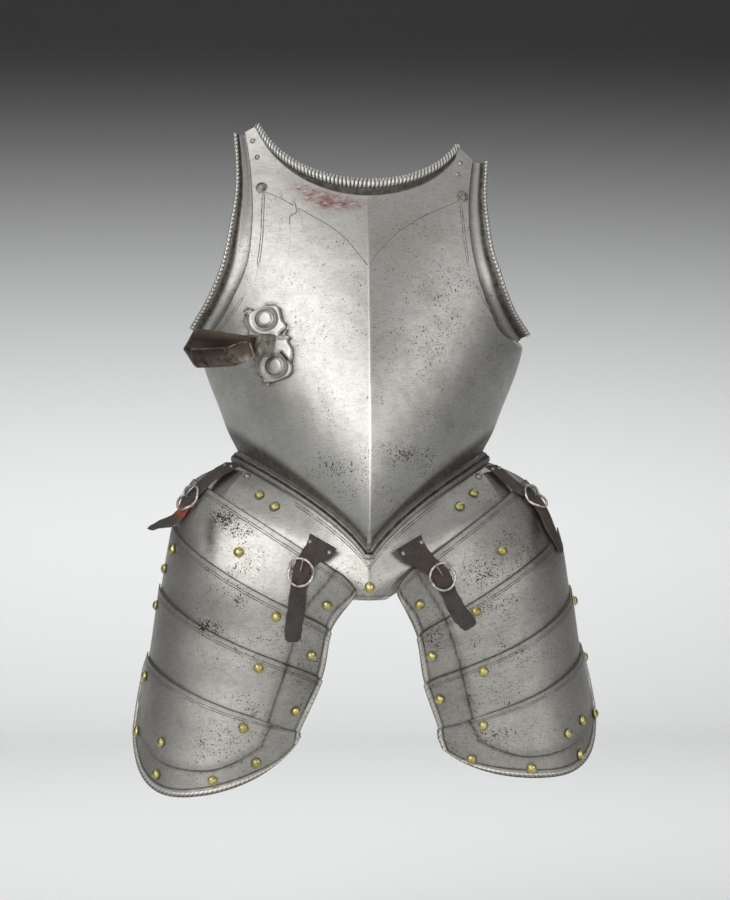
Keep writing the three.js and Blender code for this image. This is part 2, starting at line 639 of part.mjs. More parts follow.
// The gusset lies under the breastplate's edge and flares out to its roped rim.
function gussetPoint(name, across, z) {
  const side = SIDES[name];
  const edge = edgeAt(name, "plate", z);
  const held = Math.min(across / 0.45, 1);
  const x = side * mix(edge - GUSSET.under, edge + 2, held);
  const under = onChest(x, z, -(PLATE_THICKNESS + GUSSET.gap));
  const free = Math.max(across - 0.45, 0) / 0.55;
  const rim = at(side * edgeAt(name, "rim", z), edgeAt(name, "forward", z), z);
  return under.point
    .lerp(rim, free)
    .addScaledVector(under.normal, -4 * Math.sin(Math.PI * free) * (1 - free));
}

function gusset(name) {
  const top = SHOULDER[name].corner.z - 1.5;
  const shares = [0, 0.22, 0.45, 0.63, 0.82, 1];
  const columns = name === "right" ? [...shares].reverse() : shares;
  const heights = steps(11).map((v) => mix(GUSSET.foot[name], top, v));
  const rows = heights.map((z) => columns.map((across) => gussetPoint(name, across, z)));
  const rimPath = heights.map((z) => gussetPoint(name, 1, z));
  return joined(
    sheet(rows, GUSSET_THICKNESS, 1),
    rod(rimPath, rimPath.map(() => GUSSET.rim), 5),
  );
}
for (const name of Object.keys(SIDES)) piece(`gusset_${name}`, gusset(name), STEEL);

// ---------------------------------------------------------------- fauld

const fauldAt = (name, v) => column(FAULD, "v", name, v);
function fauldPoint(u, v) {
  const angle = radians(SIDE_ANGLE) * Math.abs(u);
  const out = Math.sin(angle);
  const x = Math.sign(u) * fauldAt("half", v) * out;
  const z = Math.max(mix(fauldAt("front", v), fauldAt("side", v), out), CROTCH.z);
  const lip = CROTCH.lip * smooth((v - 0.9) * 10) * smooth((CROTCH.half - Math.abs(x)) / 10);
  return at(x, fauldAt("depth", v) * bulge(angle, fauldAt("keel", v)) + lip, z);
}
const fauldNormal = (u, v) => {
  const normal = normalOf(fauldPoint, u || 0.01, v, -1);
  return u ? normal : normal.setX(0).normalize();
};
function fauld() {
  const columns = bothHalves([0, 0.06, 0.12, ...steps(10).filter((u) => u > 0.15)]);
  const rows = [1, 0.9, 0.6, 0.3, 0].map((v) => columns.map((u) => fauldPoint(u, v)));
  const studs = FAULD_STEEL_RIVETS.map(({ across, down }) => {
    const normal = fauldNormal(across, down);
    return dome(fauldPoint(across, down).addScaledVector(normal, -0.8), normal, 4.2, 3.6, 6);
  });
  return joined(sheet(rows, LAME_THICKNESS, 1), ...studs);
}
piece("fauld", fauld(), STEEL);

// ---------------------------------------------------------------- tassets

// The surface that a tasset's lames follow: s runs from the crotch edge (0) to the hip edge (1), v down its length.
function tassetRow(name, row, s) {
  const angle = radians(mix(row.from, row.to, s));
  const out = (angle < 0 ? row.in : row.out) * Math.sin(angle);
  const bend = bulge(angle, row.keel);
  const back = angle > 0 ? row.deep * (1 - bend) : 0;
  const end = 2 * s - 1;
  const round = (end < 0 ? row.roundIn : row.roundOut) * Math.abs(end) ** 2.4;
  return {
    v: row.v,
    x: SIDES[name] * (row.x + out),
    forward: row.forward + row.deep * bend,
    z: row.z + row.slope * out + row.lift * back + round,
  };
}
function tassetPoint(name, s, v) {
  const rows = TASSET[name].map((row) => tassetRow(name, row, s));
  return at(column(rows, "v", "x", v), column(rows, "v", "forward", v), column(rows, "v", "z", v));
}
const tassetNormal = (name, s, v) =>
  normalOf((a, b) => tassetPoint(name, a, b), clamp(s, 0.002, HIP - 0.002), clamp(v, -0.99, 3.995), -SIDES[name]);

// The share at which the hip edge lies at a height.
const hipEdge = (v) => 1 + (HIP - 1) * smooth(v);

// How far a lame's outer face stands off that surface: it slopes in under the next lame, and its border is sunk.
function lameRise(number, v) {
  return LAME.step * (1 - (v - number + 1) / (1 + LAME.overlap));
}
function lamePoint(name, number, s, v, sunk = 0, raise = 0) {
  const off = lameRise(number, v) - LAME.sunk * sunk + raise;
  return tassetPoint(name, s, v).addScaledVector(tassetNormal(name, s, v), off);
}

// The upper lames: rows go down the lame, columns from the crotch edge to the hip.
function bandLame(name, number) {
  const top = number - 1;
  const between = number === 1 ? [0.17, 0.34, 0.52, 0.75] : [0.33, 0.66];
  const heights = [0, ...between, 1, 1 + LAME.overlap];
  const points = heights.map((d) => {
    const v = top + d;
    const border = column(TASSET[name], "v", "border", v);
    const across = [
      { s: 0, lip: 1, sunk: 1 },
      { s: LAME.lipWidth, lip: 0, sunk: 1 },
      { s: border, lip: 0, sunk: 1 },
      { s: border + 0.02, lip: 0, sunk: 0 },
      ...steps(8).slice(1).map((t) => ({ s: mix(border + 0.02, hipEdge(v), t), lip: 0, sunk: 0 })),
    ];
    return across.map(({ s, lip, sunk }) => {
      const cut = LAME.corner[top] * (1 - smooth(s / 0.1)) * Math.max(0, 1 - d * 1.4);
      const bead = lip * LAME.lip * (d < 0.95 && d > 0 ? 1 : 0);
      return { s, v: v + cut, sunk, bead };
    });
  });
  return fromPoints(name, number, points);
}

// The last lame: rows open out from the middle of its upper edge to its rounded outline. field: how far out the
// raised field goes before the step down to the sunk border.
function endLame(name) {
  const outline = [
    { s: 0, d: 0.1, border: 1, field: 0.38 },
    { s: 0, d: 0.55, border: 1, field: 0.38 },
    { s: 0.02, d: 1, border: 1, field: 0.42 },
    { s: 0.13, d: 1, border: 1, field: 0.5 },
    { s: 0.24, d: 1, border: 1, field: 0.64 },
    ...[0.35, 0.45, 0.55, 0.66, 0.77].map((s) => ({ s, d: 1, border: 1, field: 0.74 })),
    { s: 0.88, d: 1, border: 1, field: 0.74 },
    { s: 0.98, d: 1, border: 0.5, field: 0.74 },
    { s: 1, d: 0.6, border: 0, field: 0.74 },
    { s: 1, d: 0.3, border: 0, field: 0.74 },
    { s: 1, d: 0, border: 0, field: 0.74 },
  ];
  const rings = [
    { field: 0, rim: 0, sunk: 0, lip: 0 },
    { field: 0.3, rim: 0, sunk: 0, lip: 0 },
    { field: 0.65, rim: 0, sunk: 0, lip: 0 },
    { field: 1, rim: 0, sunk: 0, lip: 0 },
    { field: 1, rim: 0.1, sunk: 1, lip: 0 },
    { field: 1, rim: 0.5, sunk: 1, lip: 0 },
    { field: 1, rim: 0.82, sunk: 1, lip: 0 },
    { field: 1, rim: 1, sunk: 1, lip: 1 },
  ];
  const points = rings.map(({ field, rim, sunk, lip }) =>
    outline.map((edge, i) => {
      const core = mix(0.3, 0.85, i / (outline.length - 1));
      const out = mix(edge.field * field, 1, rim);
      const bead = i === 0 || i === outline.length - 1 ? 0 : lip * LAME.lip;
      return {
        s: mix(core, edge.s * HIP, out),
        v: LAMES - 1 + edge.d * out,
        sunk: sunk * edge.border,
        bead,
      };
    }),
  );
  return fromPoints(name, LAMES, points);
}

function fromPoints(name, number, points) {
  const place = (raise) =>
    points.map((row) =>
      row.map(({ s, v, sunk, bead }) => lamePoint(name, number, s, v, sunk, bead + raise)),
    );
  return wall(place(0), place(-LAME_THICKNESS), -SIDES[name]);
}
for (const name of Object.keys(SIDES))
  for (let number = 1; number <= LAMES; number++)
    piece(
      `tasset_${name}_lame_${number}`,
      number < LAMES ? bandLame(name, number) : endLame(name),
      STEEL,
    );

// ---------------------------------------------------------------- brass rivets

function brassRivet(name, point, normal) {
  piece(
    name,
    dome(point.addScaledVector(normal, RIVET.gap), normal, RIVET.radius, RIVET.height),
    BRASS,
  );
}
for (const name of Object.keys(SIDES))
  LAME_RIVETS[name].forEach(({ lame, across, down, border }, i) => {
    const v = lame - 1 + down;
    brassRivet(
      `rivet_${name}_${i + 1}`,
      lamePoint(name, lame, across, v, border),
      tassetNormal(name, across, v),
    );
  });
FAULD_RIVETS.forEach(({ across, down }, i) =>
  brassRivet(`rivet_fauld_${i + 1}`, fauldPoint(across, down), fauldNormal(across, down)),
);

// ---------------------------------------------------------------- straps and buckles

// The directions along, across and out of a strap at one of its rows.
function strapFrame(side, rows, i) {
  const { s, v } = rows[i];
  const place = (row) => tassetPoint(side, row.s, row.v).addScaledVector(tassetNormal(side, row.s, row.v), row.raise);
  const out = tassetNormal(side, s, v);
  const along = place(rows[Math.min(i + 1, rows.length - 1)])
    .sub(place(rows[Math.max(i - 1, 0)]))
    .normalize();
  const across = along.clone().cross(out).normalize();
  return { along, across, out };
}

// A point at a move from (s, v) that keeps to the curve of the surface, raised off it.
function besideStrap(side, { s, v }, move, raise) {
  const e = 1e-3;
  const ds = tassetPoint(side, s + e, v).sub(tassetPoint(side, s - e, v)).divideScalar(2 * e);
  const dv = tassetPoint(side, s, v + e).sub(tassetPoint(side, s, v - e)).divideScalar(2 * e);
  const [ss, sv, vv] = [ds.dot(ds), ds.dot(dv), dv.dot(dv)];
  const [ms, mv] = [move.dot(ds), move.dot(dv)];
  const scale = 1 / (ss * vv - sv * sv);
  const atS = s + (ms * vv - mv * sv) * scale;
  const atV = v + (mv * ss - ms * sv) * scale;
  return tassetPoint(side, atS, atV).addScaledVector(tassetNormal(side, s, v), raise);
}
const aside = (frame, x, y = 0) =>
  frame.across.clone().multiplyScalar(x).addScaledVector(frame.along, y);

function tongueRod(side, rows, buckle, radius) {
  const frame = strapFrame(side, rows, buckle);
  const path = [
    { y: 1, h: BUCKLE.bar },
    { y: -0.3, h: 6.8 },
    { y: -2.5, h: BUCKLE.tongue },
    { y: -BUCKLE.long - 1.4, h: BUCKLE.loop + 1.6 },
  ].map(({ y, h }) => besideStrap(side, rows[buckle], aside(frame, 0, y), h));
  return rod(path, path.map(() => radius), 6);
}

function strap({ side, rows, rivets, buckle }) {
  const face = (lift) =>
    rows.map((row, i) =>
      [-1, 0, 1].map((k) =>
        besideStrap(side, row, aside(strapFrame(side, rows, i), k * row.half), row.raise + lift),
      ),
    );
  const studs = rivets.flatMap(({ row, along, apart }) =>
    [-1, 1].map((k) => {
      const frame = strapFrame(side, rows, row);
      const lift = rows[row].raise + STRAP_THICKNESS - 0.6;
      return dome(besideStrap(side, rows[row], aside(frame, k * apart, -along), lift), frame.out, 3, 2.2, 6);
    }),
  );
  const leather = joined(wall(face(STRAP_THICKNESS), face(0), 1), ...studs);
  const hole = tongueRod(side, rows, buckle, BUCKLE.tongueWire + 0.6);
  return geometryOf(solid(leather).subtract(solid(hole)));
}

function buckleOf({ side, rows, buckle }) {
  const frame = strapFrame(side, rows, buckle);
  const local = (x, y, h) => besideStrap(side, rows[buckle], aside(frame, x, y), h);
  const { wide, long, waist, wire, bar, loop, tab } = BUCKLE;
  const ring = Array.from({ length: 16 }, (_, i) => {
    const turn = (2 * Math.PI * i) / 16;
    const pinch = 1 - waist * Math.exp(-((Math.sin(turn) / 0.25) ** 2));
    return local(wide * Math.cos(turn) * pinch, long * Math.sin(turn), mix(bar, loop, smooth(Math.abs(Math.sin(turn)) * 1.35)));
  });
  const half = wide * (1 - waist);
  const tabFace = (lift) =>
    tab.under.map((raise, i) => {
      const across = strapFrame(side, rows, buckle + i);
      return [-1, 1].map((k) =>
        besideStrap(side, rows[buckle + i], aside(across, k * tab.half), raise + lift),
      );
    });
  return joined(
    rod(ring, ring.map(() => wire), 5, true),
    rod([local(-half, 0, bar), local(half, 0, bar)], [wire * 0.9, wire * 0.9], 6),
    tongueRod(side, rows, buckle, BUCKLE.tongueWire),
    wall(tabFace(tab.thickness), tabFace(0), 1),
  );
}
for (const [name, made] of Object.entries(STRAPS)) {
  piece(name, strap(made), LEATHER);
  piece(name.replace("strap", "buckle"), buckleOf(made), IRON);
}

// ---------------------------------------------------------------- lance rest

const ahead = at(-Math.sin(radians(REST.turn)), Math.cos(radians(REST.turn)), 0);
const beside = at(Math.cos(radians(REST.turn)), Math.sin(radians(REST.turn)), 0);
const up = new THREE.Vector3(0, 0, 1);
const hinge = at(REST.hinge.x, REST.hinge.forward, REST.hinge.z);
const fromHinge = (q, h, z) =>
  hinge.clone().addScaledVector(ahead, q).addScaledVector(beside, h).addScaledVector(up, z);

// A bar of rectangular section set square to the hinge.
function hingeBlock([q0, q1], [h0, h1], [z0, z1]) {
  const ring = (q) => [
    fromHinge(q, h0, z0),
    fromHinge(q, h1, z0),
    fromHinge(q, h1, z1),
    fromHinge(q, h0, z1),
  ];
  return skin([ring(q0), ring(q1)]);
}
const hingeRod = (radius, from, to, sides) =>
  rod([fromHinge(0, from, 0), fromHinge(0, to, 0)], [radius, radius], sides);

function restPlate() {
  const rows = (raise) =>
    REST_PLATE.map(({ z, from, to }) => steps(4).map((t) => onChest(mix(from, to, t), z, raise).point));
  const plate = wall(rows(REST.gap + REST.thickness), rows(REST.gap), 1);
  const bolts = REST.bolts.map(({ x, z }) => {
    const { point, normal } = onChest(x, z, REST.gap + REST.thickness - 1);
    return turnedPiece(
      point,
      normal,
      [
        { out: REST.bolt.radius, up: 0 },
        { out: REST.bolt.radius, up: 3 },
        { out: REST.bolt.radius * 0.72, up: REST.bolt.height },
        { up: REST.bolt.height + 0.8 },
      ],
      12,
    );
  });
  // What lies under the plate is cut from the lugs, so that they end inside its thickness.
  const below = (raise) =>
    steps(8).map((v) => steps(8).map((t) => onChest(mix(-150, -50, t), mix(60, 165, v), raise).point));
  const { from, to, back, ahead: reach, half } = REST.lug;
  const lugs = [
    hingeBlock([back, reach], [-to, -from], [-half, half]),
    hingeBlock([back, reach], [from, to], [-half, half]),
  ];
  const cutter = solid(wall(below(REST.gap + 1.4), below(-40), 1));
  const cut = lugs.map((lug) => solid(lug).subtract(cutter));
  const made = [plate, ...bolts, hingeRod(REST.pin, -to - 1, to + 1.2, 10)].map(solid);
  return geometryOf([...made, ...cut].reduce((a, b) => a.add(b)));
}
function restArm() {
  const rings = REST_ARM.map(({ q, top, bottom, middle, tip, back, vertex, trough }) => [
    fromHinge(q, tip, top),
    fromHinge(q, back, top),
    fromHinge(q, vertex, middle),
    fromHinge(q, back, bottom),
    fromHinge(q, tip, bottom),
    fromHinge(q, trough, middle),
  ]);
  const { radius, half, hole } = REST.knuckle;
  const arm = solid(skin(rings)).add(solid(hingeRod(radius, -half, half, 16)));
  return geometryOf(arm.subtract(solid(hingeRod(hole, -half - 2, half + 2, 12))));
}
piece("lance_rest_plate", restPlate(), STEEL);
piece("lance_rest_arm", restArm(), DARK_STEEL);

export default cuirass;
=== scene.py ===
# %% [markdown]
# # A cuirass, dressed
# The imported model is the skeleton: every plate, strap and rivet already has its place. This lesson puts a
# finer surface over each of them. All measures below are in millimetres, as an armourer would write them,
# and become metres only when a mesh is made. +Z is up, -Y is the front and +X is the wearer's left.

# %% Load the frame
import math

import bmesh
import bpy
import numpy as np
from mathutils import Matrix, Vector


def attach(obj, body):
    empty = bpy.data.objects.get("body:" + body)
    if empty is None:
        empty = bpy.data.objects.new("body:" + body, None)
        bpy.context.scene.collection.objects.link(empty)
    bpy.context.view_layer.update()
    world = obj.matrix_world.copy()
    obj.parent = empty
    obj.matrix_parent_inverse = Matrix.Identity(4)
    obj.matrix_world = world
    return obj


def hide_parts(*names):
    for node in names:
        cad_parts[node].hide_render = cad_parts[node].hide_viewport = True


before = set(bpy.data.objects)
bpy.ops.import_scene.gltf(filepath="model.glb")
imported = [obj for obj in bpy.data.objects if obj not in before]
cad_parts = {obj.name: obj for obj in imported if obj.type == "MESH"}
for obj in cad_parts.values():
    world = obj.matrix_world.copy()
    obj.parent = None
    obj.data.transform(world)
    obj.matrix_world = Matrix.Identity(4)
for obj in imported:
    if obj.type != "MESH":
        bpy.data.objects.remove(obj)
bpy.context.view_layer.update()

MM = 0.001
RIGHT, LEFT = -1, 1  # the wearer's sides, as the sign of x

# %% [markdown]
# ## The camera
# A long lens far away keeps the armour's proportions. It stands a little to the wearer's right of the
# ridge, level with the waist, and never tilts, so that the upright lines stay upright.

# %% Place the camera
TURN = math.radians(-4)
EYE = (-193.5, -2853.0, 5.25)
lens = bpy.data.cameras.new("camera")
lens.lens, lens.sensor_width = 106.68, 36
lens.clip_start, lens.clip_end = 0.1, 60
camera = bpy.data.objects.new("camera", lens)
bpy.context.collection.objects.link(camera)
camera.location = [part * MM for part in EYE]
camera.rotation_euler = (math.pi / 2, 0, TURN)
bpy.context.scene.camera = camera
print("camera", round(math.hypot(*EYE) * MM, 2), "m away, turned", round(math.degrees(TURN), 1), "degrees")

# %% [markdown]
# ## Small tools for shapes
# A shape here is a function of two numbers, worked out for whole grids at once. Short tables hold the
# sections, and a smooth curve runs through their rows, so one changed number moves a whole region without a
# dent.

# %% Tables and curves
def table(columns, *rows):
    """A short table: the names of its columns, then one tuple for each row."""
    return dict(zip(columns.split(), np.array(rows, float).T))


def through(keys, values, at):
    """A cubic through the rows (keys, values): each stretch leaves and arrives with the slope between the
    row's two neighbours. values may hold a whole array for each row."""
    keys, values, at = np.asarray(keys, float), np.asarray(values, float), np.asarray(at, float)
    if values.ndim == 1:
        values = values.reshape(-1, *[1] * at.ndim)
    shape = np.broadcast_shapes(at.shape, values.shape[1:])
    at = np.broadcast_to(at, shape)
    values = np.broadcast_to(values, (len(keys), *shape))
    order = np.arange(len(keys))
    before, after = np.maximum(order - 1, 0), np.minimum(order + 1, len(keys) - 1)
    gap = (keys[after] - keys[before]).reshape(-1, *[1] * len(shape))
    slopes = (values[after] - values[before]) / gap
    i = np.clip(np.searchsorted(keys[1:], at, "left"), 0, len(keys) - 2)
    pick = lambda rows, k: np.take_along_axis(rows, k[None], 0)[0]
    a, b, span = pick(values, i), pick(values, i + 1), keys[i + 1] - keys[i]
    t = np.clip((at - keys[i]) / span, -0.2, 1.1)
    bend = (1 - t) * pick(slopes, i) - t * pick(slopes, i + 1)
    return a + (b - a) * t * t * (3 - 2 * t) + span * t * (1 - t) * bend


def column(rows, key, name, at):
    """The column called name at the places at of the key column, on the curve through the rows."""
    return through(rows[key], rows[name], at)


def mix(a, b, t):
    """a where t is 0, b where t is 1, on a straight line between."""
    return a + (b - a) * t


def smooth(t):
    """0 below 0, 1 above 1, and 3t^2 - 2t^3 between."""
    t = np.clip(t, 0, 1)
    return t * t * (3 - 2 * t)


def hill(distance, width):
    """A soft hump: the exponential of minus the square of distance over width."""
    return np.exp(-((distance / width) ** 2))


def unit(v):
    """Each vector divided by its length."""
    return v / np.maximum(np.linalg.norm(v, axis=-1, keepdims=True), 1e-9)


def place(x, forward, z):
    """Points from x, how far forward, and height."""
    return np.stack(np.broadcast_arrays(x, -np.asarray(forward, float), z), -1).astype(float)


def normals_of(surface, a, b, turn):
    """The outward normals of a surface: its step along a crossed with its step along b."""
    e = 1e-3
    return unit(np.cross(surface(a + e, b) - surface(a - e, b), surface(a, b + e) - surface(a, b - e)) * turn)


def grid_normals(grid, turn):
    """The outward normals of a grid of points, from the neighbours of each."""
    return unit(np.cross(np.gradient(grid, axis=1), np.gradient(grid, axis=0)) * turn)


# %% [markdown]
# ## Small tools for meshes
# A plate is a grid of points and its copy one thickness inward, with a strip round the border. A wire or a
# rope is a ring of points carried along a path. Both give four-sided faces only, and a pole is a ring drawn
# in to one point and then welded.

# %% Grids, shells, tubes and turned pieces
def quads(rows, cols, wrap=False):
    """The four-sided faces of a grid whose points are numbered row by row. wrap joins the last column to
    the first."""
    i, j = np.meshgrid(np.arange(rows - 1), np.arange(cols if wrap else cols - 1), indexing="ij")
    k = (j + 1) % cols
    return np.stack([i * cols + j, i * cols + k, (i + 1) * cols + k, (i + 1) * cols + j], -1).reshape(-1, 4)


def shell(outer, inner, turn):
    """A closed wall between two grids that face each other. turn is 1 where the outer grid's rows go up and
    its points go to the viewer's right, else -1."""
    rows, cols = outer.shape[:2]
    ids = np.arange(rows * cols).reshape(rows, cols)
    rim = np.concatenate([ids[0, :-1], ids[:-1, -1], ids[-1, :0:-1], ids[:0:-1, 0]])
    far, after, count = rim + rows * cols, np.roll(rim, -1), rows * cols
    strip = np.stack([after, rim, far, after + count], -1)
    faces = np.concatenate([quads(rows, cols), quads(rows, cols)[:, ::-1] + count, strip])
    return np.concatenate([outer.reshape(-1, 3), inner.reshape(-1, 3)]), faces[:, :: int(turn)]


def tube(rings, closed=False):
    """A skin over rings of points, each turning anticlockwise about the way the rings go. An open tube's
    ends are drawn in to a point, and a closed one ends in its first ring again."""
    middle = lambda ring: np.broadcast_to(ring.mean(0), ring.shape)[None]
    rings = np.concatenate([rings, rings[:1]] if closed else [middle(rings[0]), rings, middle(rings[-1])])
    rows, sides = rings.shape[:2]
    return rings.reshape(-1, 3), quads(rows, sides, wrap=True)


def carried(path, out, profile):
    """Rings along a path. out is made square to the path by taking off its share along it, and across is
    the product of the two. profile (rings, sides, 2) says how far each point lies towards out and
    across."""
    along = unit(np.gradient(path, axis=0))
    out = unit(out - (out * along).sum(-1, keepdims=True) * along)
    across = np.cross(along, out)
    return path[:, None] + profile[..., :1] * out[:, None] + profile[..., 1:] * across[:, None]


def round_profile(radii, sides):
    """A circle for each radius, or for each row of radii: the radius times the cosine and sine of even
    angles."""
    angle = np.arange(sides) * 2 * np.pi / sides
    radii = np.asarray(radii, float)
    radii = radii if radii.ndim == 2 else radii[:, None]
    return np.stack([radii * np.cos(angle), radii * np.sin(angle)], -1)


def evenly(path, step):
    """The path again, with a point every step along it, and how far along each lies."""
    gone = np.r_[0, np.cumsum(np.linalg.norm(np.diff(path, axis=0), axis=1))]
    at = np.linspace(0, gone[-1], max(int(gone[-1] / step), 2))
    return np.stack([np.interp(at, gone, path[:, k]) for k in range(3)], -1), at


def turned(base, axis, out, up, sides=28, flute=None):
    """A round piece on base along axis: out and up are its profile from the foot to the top. flute(angle,
    share) changes how far out each point lies, share running from 0 at the foot to 1 at the top."""
    axis = unit(np.asarray(axis, float))
    a = unit(np.cross([0.21, 0.37, 0.9], axis))
    b = np.cross(axis, a)
    angle, share = np.arange(sides) * 2 * np.pi / sides, np.linspace(0, 1, len(out))
    reach = np.asarray(out, float)[:, None] * (1 if flute is None else flute(angle[None], share[:, None]))
    points = base + np.asarray(up, float)[:, None, None] * axis
    points = points + reach[..., None] * (np.cos(angle)[:, None] * a + np.sin(angle)[:, None] * b)
    return tube(points)


def together(*parts):
    """Several (points, faces) as one."""
    starts = np.cumsum([0] + [len(p) for p, _ in parts[:-1]])
    return np.concatenate([p for p, _ in parts]), np.concatenate([f + s for (_, f), s in zip(parts, starts)])


# %% Make the mesh and put it on its body
FAR = 30.0  # a distance in millimetres at which no cut line shows
BLANK = {"line": FAR, "pair": FAR}


def make(name, shape, material, nodes=(), body="cuirass", facts=None, sharp=35, weld=False):
    """A mesh from (points, faces) in the scene, riding on its body. facts are named numbers for each point,
    which the finishes read; where they run out, as on the inside of a shell, the rest are blank. sharp is
    the angle between two faces past which their edge shows, and weld joins the points of each pole."""
    points, faces = shape
    mesh = bpy.data.meshes.new(name)
    mesh.from_pydata(np.asarray(points) * MM, [], np.asarray(faces))
    for fact, values in {"line": (), "pair": (), **(facts or {})}.items():
        stored = np.full(len(points), BLANK.get(fact, 0.0), np.float32)
        stored[: np.size(values)] = np.ravel(values)
        mesh.attributes.new(fact, "FLOAT", "POINT").data.foreach_set("value", stored)
    if weld:
        shaped = bmesh.new()
        shaped.from_mesh(mesh)
        bmesh.ops.remove_doubles(shaped, verts=shaped.verts, dist=2e-6)
        bmesh.ops.recalc_face_normals(shaped, faces=shaped.faces)
        shaped.to_mesh(mesh)
        shaped.free()
    mesh.polygons.foreach_set("use_smooth", np.ones(len(mesh.polygons), bool))
    mesh.set_sharp_from_angle(angle=math.radians(sharp))
    mesh.materials.append(material)
    made = bpy.data.objects.new(name, mesh)
    bpy.context.collection.objects.link(made)
    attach(made, body)
    if nodes:
        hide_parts(*nodes)


# %% [markdown]
# ## Colour and nodes
# Colours are written as a painter reads them off a chart, in sRGB, and one function turns them to the
# linear values that Blender mixes. One more function adds a node, so that a finish reads from top to bottom
# like a recipe.

# %% Linear colour and the add-node helper
def linear(code):
    """The linear colour of an sRGB hex: each channel to the power 2.4 after its offset, or divided by
    12.92."""
    parts = [int(code[k : k + 2], 16) / 255 for k in (1, 3, 5)]
    return [*(((c + 0.055) / 1.055) ** 2.4 if c > 0.04045 else c / 12.92 for c in parts), 1.0]


def add(tree, kind, out=0, **given):
    """Adds a node and gives back one of its outputs. A word in small letters is a property of the node. A
    word with a capital is a socket's name, with _ for a space, and _6 is the socket numbered 6: each takes
    a value, an sRGB colour or another node's output."""
    node = tree.nodes.new("ShaderNode" + kind)
    for key, value in given.items():
        if key[0].islower():
            setattr(node, key, value)
            continue
        socket = node.inputs[int(key[1:])] if key[0] == "_" else node.inputs[key.replace("_", " ")]
        if isinstance(value, bpy.types.NodeSocket):
            tree.links.new(value, socket)
        else:
            socket.default_value = linear(value) if isinstance(value, str) else value
    return node.outputs[out]


def finish_named(name):
    """An empty material, its tree, its shader and the place on the piece in metres."""
    material = bpy.data.materials.new(name)
    material.use_nodes = True
    tree = material.node_tree
    tree.nodes.clear()
    shader = tree.nodes.new("ShaderNodeBsdfPrincipled")
    tree.links.new(shader.outputs[0], tree.nodes.new("ShaderNodeOutputMaterial").inputs[0])
    return material, tree, shader, add(tree, "TexCoord", "Object")


# %% [markdown]
# ## Old bright steel
# The real plates are forged steel, ground and polished, then four centuries old: a satin grey with a faint
# warm haze, darker where the cloth could not reach, and peppered with black pits. Pictures of such plates
# could be wrapped round the mesh, but they would never meet at the edges. So the finish is grown from noise
# in layers: the ground metal, the pits, the grime with painted shade, the cut lines, and last the relief. The
# mesh itself says where the pits gather, where grime and painted shade lie, where an edge is rubbed bright
# and given a painted highlight, and where a line is cut.

# %% Steel, first layer: the ground metal
def ground_metal(tree, here, base, haze, grime_and_shade):
    """Clouds of haze 70 mm across, mottling of 12 mm, the grain of the last polish, a millimetre, and the
    long faint strokes of the stone, 9 mm by 1.6 mm."""
    # the third colour is only the steel's own darker tone, for the mottling, grain and strokes
    cloud = add(tree, "TexNoise", Vector=here, Scale=1000 / 70, Detail=5.0, Roughness=0.6)
    cloud = add(tree, "MapRange", Value=cloud, From_Min=0.4, From_Max=0.68, To_Max=0.45)
    colour = add(tree, "Mix", 2, data_type="RGBA", _0=cloud, _6=base, _7=haze)
    mottle = add(tree, "TexNoise", Vector=here, Scale=1000 / 12, Detail=8.0, Roughness=0.72)
    mottle = add(tree, "MapRange", Value=mottle, From_Min=0.44, From_Max=0.72, To_Max=0.2)
    colour = add(tree, "Mix", 2, data_type="RGBA", _0=mottle, _6=colour, _7=grime_and_shade)
    grain = add(tree, "TexNoise", Vector=here, Scale=1000 / 1.2, Detail=3.0, Roughness=0.8)
    part = add(tree, "MapRange", Value=grain, From_Min=0.3, From_Max=0.72, To_Max=0.42)
    colour = add(tree, "Mix", 2, data_type="RGBA", _0=part, _6=colour, _7=grime_and_shade)
    streaks = add(tree, "Mapping", Vector=here, Rotation=(0, 0.5, 0), Scale=(110, 110, 620))
    streaks = add(tree, "TexNoise", Vector=streaks, Scale=1.0, Detail=4.0, Roughness=0.7)
    streaks = add(tree, "MapRange", Value=streaks, From_Min=0.46, From_Max=0.72, To_Max=0.26)
    return add(tree, "Mix", 2, data_type="RGBA", _0=streaks, _6=colour, _7=grime_and_shade), mottle, grain


# %% Steel, second layer: pits
def pits_of(tree, here, pits):
    """How far a point is pitted, 0 to 1. Noise of 1.7 mm and of 5 mm is cut off near its peaks, which
    leaves ragged specks. The cut falls where the mesh says pits crowd and where a slow noise of 30 mm is
    high, so they cluster."""
    crowd = add(tree, "Attribute", "Fac", attribute_name="pitting")
    apart = dict(noise_dimensions="4D", Vector=here)  # W moves a noise away from the others
    drift = add(tree, "TexNoise", **apart, W=11.0, Scale=1000 / 30, Detail=4.0, Roughness=0.7)
    drift = add(tree, "MapRange", Value=drift, From_Min=0.4, From_Max=0.7, To_Max=0.08 * pits)
    lift = add(tree, "Math", operation="MULTIPLY_ADD", _0=crowd, _1=0.14, _2=drift)
    fine = add(tree, "TexNoise", Vector=here, Scale=1000 / 1.7, Detail=4.0, Roughness=0.6)
    fine = add(tree, "Math", operation="ADD", _0=fine, _1=lift)
    fine = add(tree, "MapRange", Value=fine, From_Min=0.7, From_Max=0.73)
    large = add(tree, "TexNoise", **apart, W=5.0, Scale=1000 / 5, Detail=7.0, Roughness=0.72)
    large = add(tree, "Math", operation="ADD", _0=large, _1=lift)
    large = add(tree, "MapRange", Value=large, From_Min=0.725, From_Max=0.75)
    return add(tree, "Math", operation="MAXIMUM", _0=fine, _1=large)


# %% Steel, third layer: what lies on the metal, the painted shade, and what is cut in it
def grime_and_shade_of(tree, here):
    """Grime and painted shade where the mesh says they gather, broken by a noise of 6 mm."""
    gathered = add(tree, "Attribute", "Fac", attribute_name="grime_and_shade")
    broken = add(tree, "TexNoise", Vector=here, Scale=1000 / 6, Detail=5.0, Roughness=0.7)
    broken = add(tree, "MapRange", Value=broken, From_Min=0.25, From_Max=0.6, To_Min=0.74)
    return add(tree, "Math", operation="MULTIPLY", use_clamp=True, _0=gathered, _1=broken)


